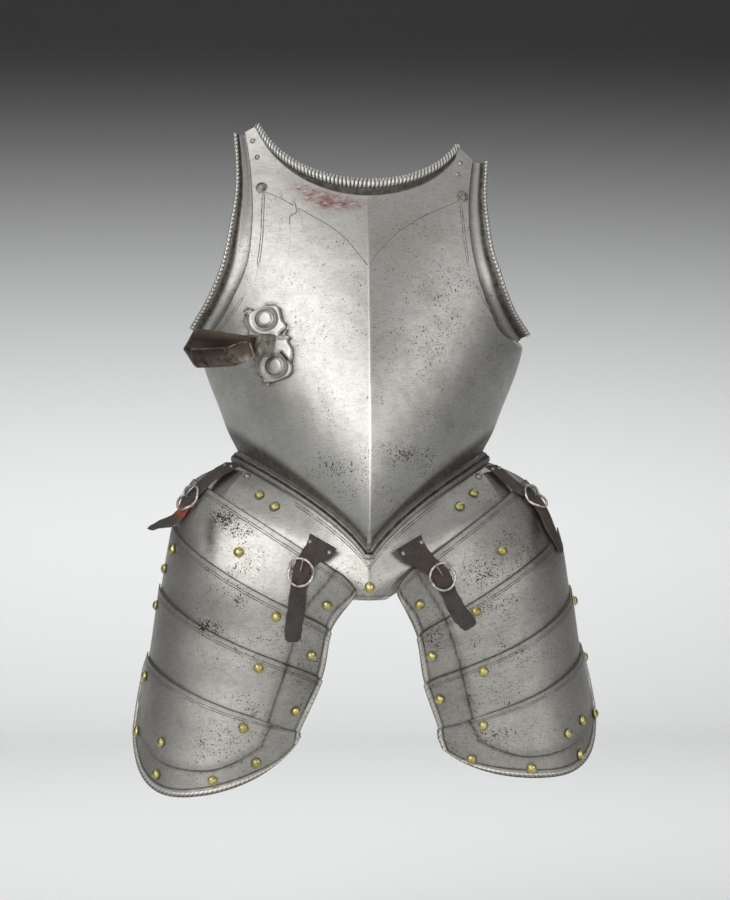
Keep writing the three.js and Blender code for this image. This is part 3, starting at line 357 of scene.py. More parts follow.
def cuts_of(tree, here):
    """The engraver's lines: one line where `line` is near 0, two where `pair` is near 1.15 mm either side.
    The twin lines are half rubbed away in patches of 10 mm."""
    line = add(tree, "Math", operation="ABSOLUTE", _0=add(tree, "Attribute", "Fac", attribute_name="line"))
    line = add(tree, "MapRange", Value=line, From_Min=0.16, From_Max=0.45, To_Min=0.8, To_Max=0.0)
    twin = add(tree, "Math", operation="ABSOLUTE", _0=add(tree, "Attribute", "Fac", attribute_name="pair"))
    twin = add(tree, "Math", operation="SUBTRACT", _0=twin, _1=1.15)
    twin = add(tree, "Math", operation="ABSOLUTE", _0=twin)
    twin = add(tree, "MapRange", Value=twin, From_Min=0.14, From_Max=0.42, To_Min=1.0, To_Max=0.0)
    worn = add(tree, "TexNoise", Vector=here, Scale=1000 / 10, Detail=3.0)
    worn = add(tree, "MapRange", Value=worn, From_Min=0.34, From_Max=0.54, To_Min=0.3)
    twin = add(tree, "Math", operation="MULTIPLY", _0=twin, _1=worn)
    return add(tree, "Math", operation="MAXIMUM", _0=line, _1=twin)


def stain_of(tree, here):
    """The rubbed red stain: where the mesh says, drawn out sideways in streaks 1.6 mm deep and 7 mm
    long."""
    streaks = add(tree, "Mapping", Vector=here, Rotation=(0, 0.35, 0), Scale=(150, 150, 620))
    streaks = add(tree, "TexNoise", Vector=streaks, Scale=1.0, Detail=6.0, Roughness=0.7)
    streaks = add(tree, "MapRange", Value=streaks, From_Min=0.36, From_Max=0.6, To_Max=0.78)
    there = add(tree, "Attribute", "Fac", attribute_name="stain")
    return add(tree, "Math", operation="MULTIPLY", use_clamp=True, _0=there, _1=streaks)


# %% Steel, last: all layers together, with their roughness and relief
def steel_finish(name, base, haze, grime_and_shade, pits, rough):
    """The layers laid over each other; dull where dirty and under painted shade; planishing dents 26 mm
    across, pits and cuts as relief."""
    material, tree, shader, here = finish_named(name)
    colour, mottle, grain = ground_metal(tree, here, base, haze, grime_and_shade)
    pit, dirt_and_shade = pits_of(tree, here, pits), grime_and_shade_of(tree, here)
    cut, stain = cuts_of(tree, here), stain_of(tree, here)
    rubbed_and_highlight = add(tree, "Attribute", "Fac", attribute_name="rubbed_and_highlight")
    # grime and painted shade darken to #3d372f; rubbed wear and painted highlight lighten to #e6e3dd
    shares = (dirt_and_shade, "#3d372f"), (pit, "#3f3831"), (cut, "#413a32"), (stain, "#702b2e"), (rubbed_and_highlight, "#e6e3dd")
    for share, over in shares:
        colour = add(tree, "Mix", 2, data_type="RGBA", _0=share, _6=colour, _7=over)
    tree.links.new(colour, shader.inputs["Base Color"])
    shader.inputs["Metallic"].default_value = 1.0
    dull = add(tree, "Math", operation="MAXIMUM", _0=dirt_and_shade, _1=pit)
    dull = add(tree, "Math", operation="MAXIMUM", _0=dull, _1=stain)
    roughness = add(tree, "Math", operation="MULTIPLY_ADD", _0=mottle, _1=0.25, _2=rough)
    roughness = add(tree, "Math", operation="MULTIPLY_ADD", _0=dull, _1=0.2, _2=roughness)
    tree.links.new(roughness, shader.inputs["Roughness"])
    height = add(tree, "TexNoise", Vector=here, Scale=1000 / 26, Detail=2.0, Roughness=0.4)
    for part, rise in (grain, 0.07), (pit, -0.25), (cut, -0.35):
        height = add(tree, "Math", operation="MULTIPLY_ADD", _0=part, _1=rise, _2=height)
    relief = add(tree, "Bump", Height=height, Strength=0.7, Distance=1.1 * MM)
    tree.links.new(relief, shader.inputs["Normal"])
    return material


# the breastplate was kept brighter than the plates over the thighs
PLATE_STEEL = steel_finish("ground_steel_plate", "#cbcac5", "#a9a79d", "#74706a", pits=1.15, rough=0.44)
LAME_STEEL = steel_finish("ground_steel_lames", "#cac8c3", "#a09d94", "#69655d", pits=1.2, rough=0.45)
print("steel:", len(PLATE_STEEL.node_tree.nodes), "nodes")

# %% [markdown]
# ## Brass, iron and browned steel
# The rivet heads are cast brass, rubbed yellow on top and dark green-brown round the foot. The buckles are
# iron wire polished pale by hands. The rest's arm was browned with heat and oil. One short recipe serves
# all: two colours mixed by a noise and by the mesh's grime and painted shade, on bare metal that is duller
# where it is darker.

# %% The small metals
def metal_finish(name, base, dark, size_mm, rough, bump_mm=0.25):
    """Two colours of bare metal in patches of size_mm, and a fine relief of bump_mm."""
    material, tree, shader, here = finish_named(name)
    worn = add(tree, "TexNoise", Vector=here, Scale=1000 / size_mm, Detail=6.0, Roughness=0.7)
    worn = add(tree, "MapRange", Value=worn, From_Min=0.42, From_Max=0.7)
    grime_and_shade = add(tree, "Attribute", "Fac", attribute_name="grime_and_shade")
    share = add(tree, "Math", operation="MAXIMUM", _0=worn, _1=grime_and_shade)
    colour = add(tree, "Mix", 2, data_type="RGBA", _0=share, _6=base, _7=dark)
    tree.links.new(colour, shader.inputs["Base Color"])
    shader.inputs["Metallic"].default_value = 1.0
    roughness = add(tree, "Math", operation="MULTIPLY_ADD", _0=share, _1=0.2, _2=rough)
    tree.links.new(roughness, shader.inputs["Roughness"])
    fine = add(tree, "TexNoise", Vector=here, Scale=1000 / (size_mm * 0.6), Detail=5.0, Roughness=0.7)
    relief = add(tree, "Bump", Height=fine, Strength=0.7, Distance=bump_mm * MM)
    tree.links.new(relief, shader.inputs["Normal"])
    return material


BRASS = metal_finish("cast_brass", "#c9c089", "#665e33", 5, 0.36)
IRON = metal_finish("polished_iron_wire", "#cfc8be", "#7b6f64", 3, 0.38)
DARK_IRON = metal_finish("dark_iron", "#a8a49c", "#5b564f", 6, 0.4)
BROWNED = metal_finish("browned_steel", "#a1978b", "#38251f", 9, 0.36, bump_mm=0.6)
print("small metals:", [finish.name for finish in (BRASS, IRON, DARK_IRON, BROWNED)])

# %% [markdown]
# ## Leather
# The straps are oak-bark leather, nearly black with age, cracked, and brown where the buckles have rubbed
# them. Leather shows two sizes of relief: pores of about a millimetre and cracks of about three.

# %% The leather
def leather_finish(name, base, dark, rust):
    """A brown ground under a dark bloom in patches of 14 mm; rust where `warm` says; pores and cracks as
    relief."""
    material, tree, shader, here = finish_named(name)
    bloom = add(tree, "TexNoise", Vector=here, Scale=1000 / 14, Detail=6.0, Roughness=0.65)
    bloom = add(tree, "MapRange", Value=bloom, From_Min=0.4, From_Max=0.62)
    colour = add(tree, "Mix", 2, data_type="RGBA", _0=bloom, _6=base, _7=dark)
    warm = add(tree, "Attribute", "Fac", attribute_name="warm")
    colour = add(tree, "Mix", 2, data_type="RGBA", _0=warm, _6=colour, _7=rust)
    tree.links.new(colour, shader.inputs["Base Color"])
    shader.inputs["Roughness"].default_value = 0.55
    pores = add(tree, "TexVoronoi", Vector=here, Scale=1000 / 1.3)
    cracks = add(tree, "TexNoise", Vector=here, Scale=1000 / 3, Detail=7.0, Roughness=0.75)
    height = add(tree, "Math", operation="MULTIPLY_ADD", _0=cracks, _1=1.6, _2=pores)
    relief = add(tree, "Bump", Height=height, Strength=0.9, Distance=0.8 * MM)
    tree.links.new(relief, shader.inputs["Normal"])
    return material


LEATHER = leather_finish("strap_leather", "#3b3531", "#292522", "#4b3127")
SUEDE = leather_finish("rust_stained_suede", "#b5561f", "#7a3a1a", "#c8692c")
print("leathers:", LEATHER.name, SUEDE.name)

# %% [markdown]
# ## The breastplate
# One forged plate, swelling to a ridge and pinched at the waist, where it turns out into a flange that the
# fauld hangs under. It could be sculpted, but then its outline would drift: instead each half is a blend of
# its four borders, the ridge, the waist, the arm edge and the neck, laid over a family of level sections.

# %% The chest's sections and borders
CHEST = table(
    "z half depth keel",
    (-110, 60, 144, 0.5), (-60, 97, 156, 0.48), (0, 132.5, 153, 0.4), (50, 152, 145, 0.33),
    (90, 167.5, 134, 0.28), (125, 176, 123, 0.24), (175, 183, 106, 0.2), (225, 179, 88, 0.16),
    (275, 165, 68, 0.13), (350, 142, 34, 0.1),
)
SIDE_ANGLE = math.radians(86)
ARM_FOOT = 113  # the height at which the arm openings begin
WAIST = dict(side=3, front=-97, pinch_side=2.5, pinch_front=2, fade=17)
FLANGE = table("down out", (0, 0), (0.3, 2.2), (1, 3.7), (2, 4.1), (2.9, 4.6), (4, 6.5), (6.2, 7.4), (9, 7.5))
NECK = dict(x=3.6, z=284.5, rim=6.2, rim_tip=3.2, share=0.9)
SHOULDER = {
    RIGHT: dict(half=116, rise=97, tip=109.7, x=123, z=343),
    LEFT: dict(half=113, rise=76, tip=102.6, x=118.5, z=314),
}
ARMHOLE = {
    RIGHT: table(
        "z plate rim forward",
        (ARM_FOOT, 173.5, 192, 4), (134, 154, 179.5, 18), (162, 137.5, 162.6, 40), (200, 121.7, 147, 52),
        (245, 115.9, 137.5, 50), (280, 115.8, 132, 41), (315, 118.5, 131.8, 28), (343, 123, 133.6, 17),
    ),
    LEFT: table(
        "z plate rim forward",
        (ARM_FOOT, 173.5, 190, 4), (129, 145.5, 179.5, 16), (150, 134, 163, 36), (172, 124.6, 151.5, 50),
        (192, 119, 144.2, 56), (216, 114, 136.7, 54), (246, 111.7, 132.6, 47), (275, 112.7, 131.2, 37),
        (314, 118.5, 134.5, 22),
    ),
}
PLATE_THICKNESS = 2.2


def bulge(angle, keel):
    """How far forward a section stands at an angle from its front: an ellipse's cosine mixed with a
    wedge."""
    return (1 - keel) * np.cos(angle) + keel * (1 - np.sin(np.abs(angle)))


def ridge_x(z):
    """The ridge leans: its x grows in a straight line from 0 at the waist's point to NECK x at the neck."""
    return NECK["x"] * np.clip((z - WAIST["front"]) / (NECK["z"] - WAIST["front"]), 0, 1.2)


def chest_point(side, angle, z):
    """A point of the chest: half the width times the sine of the angle aside, the depth times bulge
    forward."""
    half, depth, keel = (column(CHEST, "z", name, z) for name in ("half", "depth", "keel"))
    return place(ridge_x(z) + side * half * np.sin(angle), depth * bulge(angle, keel), z)


def chest_normal(side, angle, z):
    """The chest's outward normal, taken just beside the ridge where it has none."""
    return normals_of(lambda a, b: chest_point(side, a, b), np.maximum(angle, 0.002), z, side)


def angle_at(x, z):
    """The angle at which the section at a height reaches a distance from the middle."""
    share = np.abs(x - ridge_x(z)) / column(CHEST, "z", "half", z)
    return np.arcsin(np.minimum(share, math.sin(SIDE_ANGLE)))


def waist_border(u):
    """The waist's angle and height: the height goes from front to side as the sine of the angle does."""
    angle = SIDE_ANGLE * u
    return angle, mix(WAIST["front"], WAIST["side"], np.sin(angle) / math.sin(SIDE_ANGLE))


def top_border(side, u):
    """The neck's curve up to NECK share, then straight along the shoulder to its corner."""
    neck, corner = np.minimum(u / NECK["share"], 1), SHOULDER[side]
    turn = math.asin(corner["tip"] / corner["half"]) * neck
    along = np.maximum(u - NECK["share"], 0) / (1 - NECK["share"])
    x = side * corner["half"] * np.sin(turn) + NECK["x"] * (1 - u / NECK["share"])
    x = mix(x, side * corner["x"], along)
    z = mix(NECK["z"] + corner["rise"] * (1 - np.cos(turn)), corner["z"], along)
    return angle_at(x, z), z


def side_border(side, v):
    """The outer border's angle and height: the side edge up to the arm opening's foot, then the arm's
    edge."""
    z = mix(WAIST["side"], SHOULDER[side]["z"], v)
    edge = angle_at(side * column(ARMHOLE[side], "z", "plate", z), z)
    return np.where(z < ARM_FOOT, SIDE_ANGLE, edge), z


print("chest:", len(CHEST["z"]), "level sections")

# %% The half plate
def neck_hollow(drop, u):
    """The hollow under the roped neck, which painted shade darkens: it starts softly 3 mm down and ends in a
    crisp step at about 12 mm."""
    scale = mix(1, 0.62, np.minimum(u / NECK["share"], 1))
    reach = drop / scale
    ends = smooth((NECK["share"] - u) / 0.02)
    return 2.3 * smooth((reach - 2.5) / 3.5) * (1 - smooth((reach - 11.6) / 1.3)) * ends


def half_plate(side, u, v):
    """A point of the plate at shares u from ridge to arm and v from waist to neck. Its angle and height
    blend the four borders: waist to neck by v, plus ridge to arm by u, less the blend of the four corners,
    which both hold. Then it is drawn in at the waist and under the neck."""
    u, v = np.broadcast_arrays(np.asarray(u, float), np.asarray(v, float))
    ridge = 0 * v, mix(WAIST["front"], NECK["z"], v)
    borders = waist_border(u), top_border(side, u), side_border(side, v), ridge
    zero, one = np.zeros(()), np.ones(())
    corners = waist_border(zero), waist_border(one), top_border(side, zero), top_border(side, one)
    angle, z = (
        mix(low, high, v) + mix(inner, arm, u) - mix(mix(a, b, u), mix(c, d, u), v)
        for low, high, arm, inner, a, b, c, d in zip(*borders, *corners)
    )
    angle = np.maximum(angle, 0)
    pinch = mix(WAIST["pinch_front"], WAIST["pinch_side"], np.sin(angle))
    inward = pinch * hill(z - borders[0][1], WAIST["fade"]) + neck_hollow(borders[1][1] - z, u)
    facing = chest_normal(side, angle, z)
    facing[..., 0] = np.where(angle < 0.02, facing[..., 0] * angle / 0.02, facing[..., 0])
    return chest_point(side, angle, z) - unit(facing) * inward[..., None]


def on_chest(x, z, lift=0.0):
    """A point on the chest seen from the front at (x, z), raised along its normal, and that normal."""
    x, z = np.broadcast_arrays(np.asarray(x, float), np.asarray(z, float))
    angle, right = angle_at(x, z), (x < ridge_x(z))[..., None]
    normal = np.where(right, chest_normal(RIGHT, angle, z), chest_normal(LEFT, angle, z))
    point = np.where(right, chest_point(RIGHT, angle, z), chest_point(LEFT, angle, z))
    return point + normal * np.asarray(lift, float)[..., None], normal


# %% [markdown]
# ## Where wear and painted shade gather
# Engraved lines are too fine for the mesh, so each point stores its distance to the nearest line, and the
# finish cuts the groove from that. Pits, grime, stains and some painted shade are soft patches given by
# place, size and strength.

# %% Distances to lines, and patches
BATCH = 4000  # points measured at once, which keeps the memory small


def distance_to(points, line):
    """The signed distance in x and z from points to a drawn line: nearest of its sampled points, with the
    side from the cross product with its direction there."""
    line = np.asarray(line, float)
    order, fine = np.arange(len(line)), np.linspace(0, len(line) - 1, 24 * len(line))
    path = np.stack([through(order, line[:, k], fine) for k in range(2)], -1)
    way = unit(np.gradient(path, axis=0))
    flat = points[..., [0, 2]].reshape(-1, 2)
    best, near = np.zeros(len(flat)), np.zeros(len(flat), int)
    for start in range(0, len(flat), BATCH):
        part = slice(start, start + BATCH)
        gap = ((flat[part, None] - path[None]) ** 2).sum(-1)
        near[part], best[part] = gap.argmin(1), gap.min(1)
    off = flat - path[near]
    side = np.sign(off[:, 0] * way[near, 1] - off[:, 1] * way[near, 0])
    return (side * np.sqrt(best)).reshape(points.shape[:-1])


def nearest_line(points, lines):
    """Of the signed distances to several lines, the one nearest to 0, and FAR at most."""
    found = np.full(points.shape[:-1], FAR)
    for line in lines:
        gap = distance_to(points, line)
        found = np.where(np.abs(gap) < np.abs(found), gap, found)
    return np.clip(found, -FAR, FAR)


def patches(points, spots):
    """Soft spots (x, z, width, height, strength), each a hill across times a hill up, the strongest at a
    point."""
    total = np.zeros(points.shape[:-1])
    for x, z, wide, high, strength in spots:
        share = np.exp(-(((points[..., 0] - x) / wide) ** 2) - ((points[..., 2] - z) / high) ** 2)
        total = np.maximum(total, strength * share)
    return total


# %% The outline of the lance rest's plate, which the painted shadow on the chest follows
REST_EDGES = table(
    "z from to",
    (74.6, -105, -96), (80.8, -105.5, -79.6), (88, -111.7, -75.5), (95.3, -113.8, -76),
    (102.5, -114.3, -75), (109.8, -114.8, -75.5), (118, -121, -79.6), (121, -121.5, -77),
    (124.2, -121.5, -81.7), (128.4, -120.5, -80.2), (133.6, -123, -81.2), (139.8, -125.2, -84.8),
    (146, -120, -86.4), (152.2, -109.6, -87.9), (155.8, -101.4, -93),
)
REST_LOW, REST_HIGH = REST_EDGES["z"][[0, -1]]


def beyond_rest(points):
    """How far a point lies outside the rest's plate, across or up and down, whichever is more."""
    x, z = points[..., 0], points[..., 2]
    start, end = (column(REST_EDGES, "z", name, np.clip(z, REST_LOW, REST_HIGH)) for name in ("from", "to"))
    return np.maximum(np.maximum(start - x, x - end), np.maximum(REST_LOW - z, z - REST_HIGH))


print("the rest's plate:", round(REST_HIGH - REST_LOW, 1), "mm high")

# %% Build the breastplate
CHEST_LINES = [
    [(-101, 276), (-84, 268), (-67, 257.5), (-51, 248), (-35, 238), (-20, 225), (-8, 210), (2.6, 196)],
    [(101, 268), (86, 261), (68, 253), (50, 243), (33, 231), (18, 216), (9, 205), (2.6, 196)],
    [(-72, 266), (-70.5, 254), (-77, 250), (-77.5, 242)],  # a kinked scratch
]
CHEST_PAIRS = [
    [(-104.5, 273), (-105.5, 250), (-107, 225), (-110.5, 200)],
    [(103.5, 265), (105, 245), (107, 222), (109, 205)],
    [(-127.5, 163), (-135, 152), (-144, 140), (-153, 129)],
    [(119, 176), (128, 160), (136, 149), (146, 138)],
]
CHEST_PITS = [
    (-30, -12, 26, 14, 0.75), (38, 2, 38, 13, 0.95), (10, -40, 60, 40, 0.45), (0, 120, 160, 120, 0.2),
    (60, -20, 40, 30, 0.5), (70, 120, 70, 130, 0.35),
]
STAIN = [
    (-66, 280, 12, 6, 0.9), (-52, 273, 14, 8, 1.2), (-38, 266, 16, 10, 1.4), (-22, 263, 15, 8, 1.2),
    (-7, 262, 10, 6, 0.9), (-57, 230, 14, 9, 0.18), (-36, 224, 18, 9, 0.18),
]
SMUDGES = [
    (-60, 250, 46, 50, 0.13), (11, 219, 12, 7, 0.2), (68, 167, 14, 10, 0.16), (60, 60, 70, 110, 0.1),
    (-90, 60, 24, 90, 0.08),
]


def breastplate():
    """Both halves joined at the ridge, and the share u of every column. The rows start at the flange's lip:
    each goes down from the waist and out by the flange's table. Then they climb to the neck."""
    ridge, neck = (0, 0.0035, 0.009, 0.018, 0.03), np.linspace(0.042, NECK["share"], 64)
    shares = np.r_[ridge, neck, np.linspace(0.91, 1, 9)]
    v = np.r_[np.linspace(0, 0.08, 18), np.linspace(0.088, 0.945, 96), np.linspace(0.95, 1, 30)]
    down = np.r_[np.linspace(9, 6, 4), np.linspace(5.4, 0.15, 16)]
    halves = []
    for side in (RIGHT, LEFT):
        foot = half_plate(side, shares, 0 * shares)
        angle, z = waist_border(shares)
        facing = chest_normal(side, angle, z)
        facing[:, 2] = facing[0, 0] = 0  # the flange turns out level, and straight ahead at the ridge
        lip = foot[None] + unit(facing)[None] * column(FLANGE, "down", "out", down)[:, None, None]
        lip[..., 2] = z[None] - down[:, None]
        halves.append(np.concatenate([lip, half_plate(side, shares[None], v[:, None])]))
    return np.concatenate([halves[0][:, :0:-1], halves[1]], axis=1), np.r_[-shares[:0:-1], shares]


outer, across = breastplate()
above = outer[..., 2] - waist_border(np.abs(across))[1]
top = [top_border(side, np.abs(across))[1] for side in (RIGHT, LEFT)]
drop = np.where(across < 0, *top) - outer[..., 2]
wide = mix(9, 30, smooth(np.abs(across) * 1.2))
# painted shade: a dark band where the plate turns in above the flange, wide at the sides, narrow at the ridge
band = smooth((above + 0.5) / 2) * (1 - smooth((above - wide * 0.6) / (wide * 0.6)))
# painted shade in the hollow under the neck's rope
recess = smooth((drop - 1.5) / 2) * (1 - smooth((drop - 12) / 1.5)) * (np.abs(across) < NECK["share"])
# smudges of dirt, and a painted shadow round the lance rest's plate
smudges_and_rest_shadow = patches(outer, SMUDGES) + 0.55 * hill(beyond_rest(outer), 2.6)
# painted shade on the flange below the waist and along its lip
flange = 0.4 * smooth(-above) + 0.4 * hill(above + 9, 1)
# a bright line along the ridge, as rubbed wear and a painted highlight
ridge = hill(outer[..., 0] - ridge_x(outer[..., 2]), 0.9) * (above > 2) * smooth((255 - outer[..., 2]) / 80)
facts = {
    "line": nearest_line(outer, CHEST_LINES),
    "pair": nearest_line(outer, CHEST_PAIRS),
    "pitting": patches(outer, CHEST_PITS),
    # the groove just under the waist gets painted shade as well
    "grime_and_shade": np.clip(0.78 * band + 0.85 * recess + 0.9 * hill(above + 3, 1.2) + flange + smudges_and_rest_shadow, 0, 1),
    "rubbed_and_highlight": 0.9 * ridge,
    "stain": patches(outer, STAIN),
}
plate = shell(outer, outer - grid_normals(outer, 1) * PLATE_THICKNESS, 1)
make("breastplate_steel", plate, PLATE_STEEL, ["breastplate"], facts=facts, sharp=28)
print("breastplate:", outer.shape[0] * outer.shape[1], "points a side")

# %% [markdown]
# ## Roped edges
# The smith rolled the neck's edge over a wire and filed slanting nicks into it, so it reads as a rope. A
# tube does it: round each ring of the tube the radius dips once for every nick, and the dips move round as
# the tube goes on.

# %% The rope
def rope(path, out, radii, slants, pitch, cut, sides=18):
    """A tube and its facts. A nick is deepest where a sine passes 0: the sine of pi times the place along
    in pitches, plus slant times half the angle round. There the radius is less by the share cut. Grime and
    painted shade lie in the nicks, and the crests are rubbed and carry a painted highlight."""
    fine, gone = evenly(path, 0.6)
    at = lambda values: np.interp(gone / gone[-1], np.linspace(0, 1, len(path)), values)
    facing = np.stack([at(out[:, k]) for k in range(3)], -1)
    angle = np.arange(sides) * 2 * np.pi / sides
    nick = (1 - np.abs(np.sin(np.pi * gone[:, None] / pitch + at(slants)[:, None] * angle * 0.5))) ** 1.6
    radius = at(radii)[:, None] * (1 - cut * nick)
    rings = carried(fine, facing, round_profile(radius, sides))
    nick = np.concatenate([nick[:1], nick, nick[-1:]])
    return tube(rings), {"grime_and_shade": np.clip(1.3 * nick, 0, 1), "rubbed_and_highlight": 0.45 * (1 - nick) ** 2}


shares = np.r_[np.linspace(-NECK["share"], 0, 60), np.linspace(0, NECK["share"], 60)[1:]]
neck = np.concatenate([half_plate(RIGHT, -shares[:59], 1), half_plate(LEFT, shares[59:], 1)])
radii = mix(NECK["rim"], NECK["rim_tip"], np.abs(shares))
facing = on_chest(neck[:, 0], neck[:, 2])[1]
slants = np.sign(shares) * mix(0.8, 3, smooth(np.abs(shares) * 2))  # the nicks lean away from the ridge
neck_rope, facts = rope(neck, facing, radii, slants, pitch=4.3, cut=0.3)
make("neck_rope", neck_rope, PLATE_STEEL, facts=facts, sharp=60, weld=True)
print("neck rope:", len(neck_rope[0]), "points")

# %% [markdown]
# ## Arm gussets
# A separate curved plate slides under each arm edge and turns on the fluted rivet at the shoulder. From the
# breastplate's edge outwards it shows a flat band, a channel darkened with painted shade, and then its own
# roped rim.

# %% The gussets
GUSSET = dict(under=15, gap=1.7, rim=2.3, thickness=1.5, hidden=0.45)  # hidden: its share under the plate
GUSSET_FOOT = {RIGHT: 134, LEFT: 128}


def past_plate(across):
    """0 up to the breastplate's edge and 1 at the gusset's rim, in proportion."""
    return (across - GUSSET["hidden"]) / (1 - GUSSET["hidden"])


def gusset_point(side, across, z):
    """Under the plate for the hidden share, then straight to the rim. A channel is pressed in between: a
    half sine that fades towards the rim, plus a hill beside it."""
    edge = column(ARMHOLE[side], "z", "plate", z)
    x = side * mix(edge - GUSSET["under"], edge + 2, np.minimum(across / GUSSET["hidden"], 1))
    under, normal = on_chest(x, z, -(PLATE_THICKNESS + GUSSET["gap"]))
    free = np.maximum(past_plate(across), 0)[..., None]
    rim = place(side * column(ARMHOLE[side], "z", "rim", z), column(ARMHOLE[side], "z", "forward", z), z)
    channel = 2.6 * np.sin(np.pi * free) * (1 - free) + 1.9 * hill(free - 0.74, 0.13)
    return mix(under, rim, free) - normal * channel


for side, name in ((RIGHT, "right"), (LEFT, "left")):
    shares = np.r_[np.linspace(0, GUSSET["hidden"], 7), np.linspace(0.48, 1, 22)][::side]
    foot = mix(ARM_FOOT + 2, GUSSET_FOOT[side], np.clip(past_plate(shares), 0, 1))
    top = SHOULDER[side]["z"] - 1.5
    z = mix(foot, top, np.linspace(0, 1, 110)[:, None])
    grid = gusset_point(side, np.broadcast_to(shares, z.shape), z)
    free = np.broadcast_to(past_plate(shares), grid.shape[:2])
    low = smooth((200 - grid[..., 2]) / 60)
    # painted shade in the channel by the rim and, low down, beside the plate; below, a painted shadow along
    # the breastplate's edge and the whole gusset a quarter darker
    grime_and_shade = hill(free - 0.76, 0.15) * mix(0.8, 1, low) + 0.35 * hill(free - 0.2, 0.2) * low
    facts = {
        "grime_and_shade": np.clip(grime_and_shade + 0.5 * hill(free, 0.06) + 0.25, 0, 1),
        "pitting": 0.25 + 0.3 * low,
        # a lighter band in the channel, as rubbed wear and painted highlight
        "rubbed_and_highlight": 0.3 * hill(free - 0.4, 0.16),
    }
    plate, node = shell(grid, grid - grid_normals(grid, 1) * GUSSET["thickness"], 1), f"gusset_{name}"
    make(f"{node}_plate", plate, PLATE_STEEL, [node], node, facts)
    z = np.linspace(GUSSET_FOOT[side], top, 110)
    radii = GUSSET["rim"] * mix(1.15, 0.95, smooth((z - 150) / 120))
    edge, facing = gusset_point(side, np.ones(110), z), on_chest(side * 100 + 0 * z, z)[1]
    rolled, facts = rope(edge, facing, radii, np.full(110, side * 1.5), pitch=4.6, cut=0.34, sides=14)
    make(f"{node}_rope", rolled, PLATE_STEEL, (), node, facts, sharp=60, weld=True)
print("gussets: two plates, two ropes")

# %% [markdown]
# ## The fauld
# A single lame hangs under the flange and covers the belly down to the arch between the thighs, where its
# edge is turned out. The tassets' straps are riveted to it.

# %% The fauld
FAULD = table(
    "v half depth keel side front",
    (0, 127.5, 148.8, 0.45, -2.5, -102.5), (0.6, 179.5, 152, 0.3, -28, -140), (1, 182, 139, 0.3, -52, -158),
)
CROTCH = dict(z=-148, half=27, lip=2.4)
LAME_THICKNESS = 1.5


def fauld_point(u, v):
    """u from one side edge (-1) to the other (1), v from under the flange (0) to the lower edge (1).
    Sections as on the chest; the height goes from front to side as the sine of the angle does, and stops at
    the crotch, where the lip turns out."""
    u, v = np.broadcast_arrays(np.asarray(u, float), np.asarray(v, float))
    angle = SIDE_ANGLE * np.abs(u)
    half, depth, keel, side, front = (column(FAULD, "v", name, v) for name in list(FAULD)[1:])
    x = np.sign(u) * half * np.sin(angle)
    z = np.maximum(mix(front, side, np.sin(angle)), CROTCH["z"])
    lip = CROTCH["lip"] * smooth((v - 0.9) * 10) * smooth((CROTCH["half"] - np.abs(x)) / 10)
    return place(x, depth * bulge(angle, keel) + lip, z)


def fauld_normal(u, v):
    """The fauld's outward normal, which has no sideways part on the ridge."""
    normal = normals_of(fauld_point, np.where(u == 0, 0.01, u), v, -1)
    normal[..., 0] = np.where(u == 0, 0, normal[..., 0])
    return unit(normal)


u = np.r_[-np.linspace(1, 0.012, 110), 0, np.linspace(0.012, 1, 110)]
v = np.r_[np.linspace(1, 0.8, 16), np.linspace(0.78, 0, 44)]
grid = fauld_point(u[None], v[:, None])
half = np.linspace(0, 1, 80)
waist = np.concatenate([half_plate(RIGHT, half[:0:-1], 0 * half[1:]), half_plate(LEFT, half, 0 * half)])
# a last strip of it runs up behind the flange, so that no daylight shows between the two
x = grid[-1][:, 0]
behind, height = (np.interp(x, waist[:, 0], waist[:, k]) for k in (1, 2))
tuck = np.stack([x, behind - 2.5, height - 4], -1)
grid = np.concatenate([grid, mix(grid[-1], tuck, np.array([0.34, 0.67, 1])[:, None, None])])
slope = math.radians(38)  # of the waist's V, so that depth below the flange becomes distance from its edge
from_edge = (np.interp(grid[..., 0], waist[:, 0], waist[:, 2]) - 9 - grid[..., 2]) * math.cos(slope)
FAULD_PITS = [(-150, -45, 40, 20, 0.4), (150, -45, 40, 20, 0.4), (0, -130, 60, 20, 0.2)]
# dark patches beside the straps' heads: painted shade
FAULD_STRAP_SHADE = [(-125, -28, 18, 9, 1), (140, -32, 18, 9, 1), (-62, -70, 12, 9, 0.6)]
# painted shade under the flange's edge, where the fauld goes in behind it
grime_and_shade = 0.8 * hill(from_edge + 0.5, 2.2) + 0.15 * hill(from_edge - 3.5, 2.5)
grime_and_shade = grime_and_shade + 0.35 * patches(grid, FAULD_STRAP_SHADE)
facts = {
    "grime_and_shade": np.clip(grime_and_shade, 0, 1),
    "line": np.where(np.abs(grid[..., 0]) < 30, grid[..., 2] - CROTCH["z"] - 4.4, FAR),
    "pair": np.where(np.abs(grid[..., 0]) < 75, from_edge - 8.5, FAR),
    "pitting": patches(grid, FAULD_PITS),
}
plate = shell(grid, grid - grid_normals(grid, 1) * LAME_THICKNESS, 1)
make("fauld_steel", plate, LAME_STEEL, ["fauld"], facts=facts)
print("fauld:", grid.shape[:2])

# %% [markdown]
# ## The tassets
# Each thigh guard is four lames. Their leathers inside let them slide, and each lower lame lies over the
# one above. All of them follow one surface: s runs from the crotch edge to the hip, v down the thigh. A
# lame is a strip of that surface with its own rise, a raised field, a sunk border, and a turned and nicked
# rim.

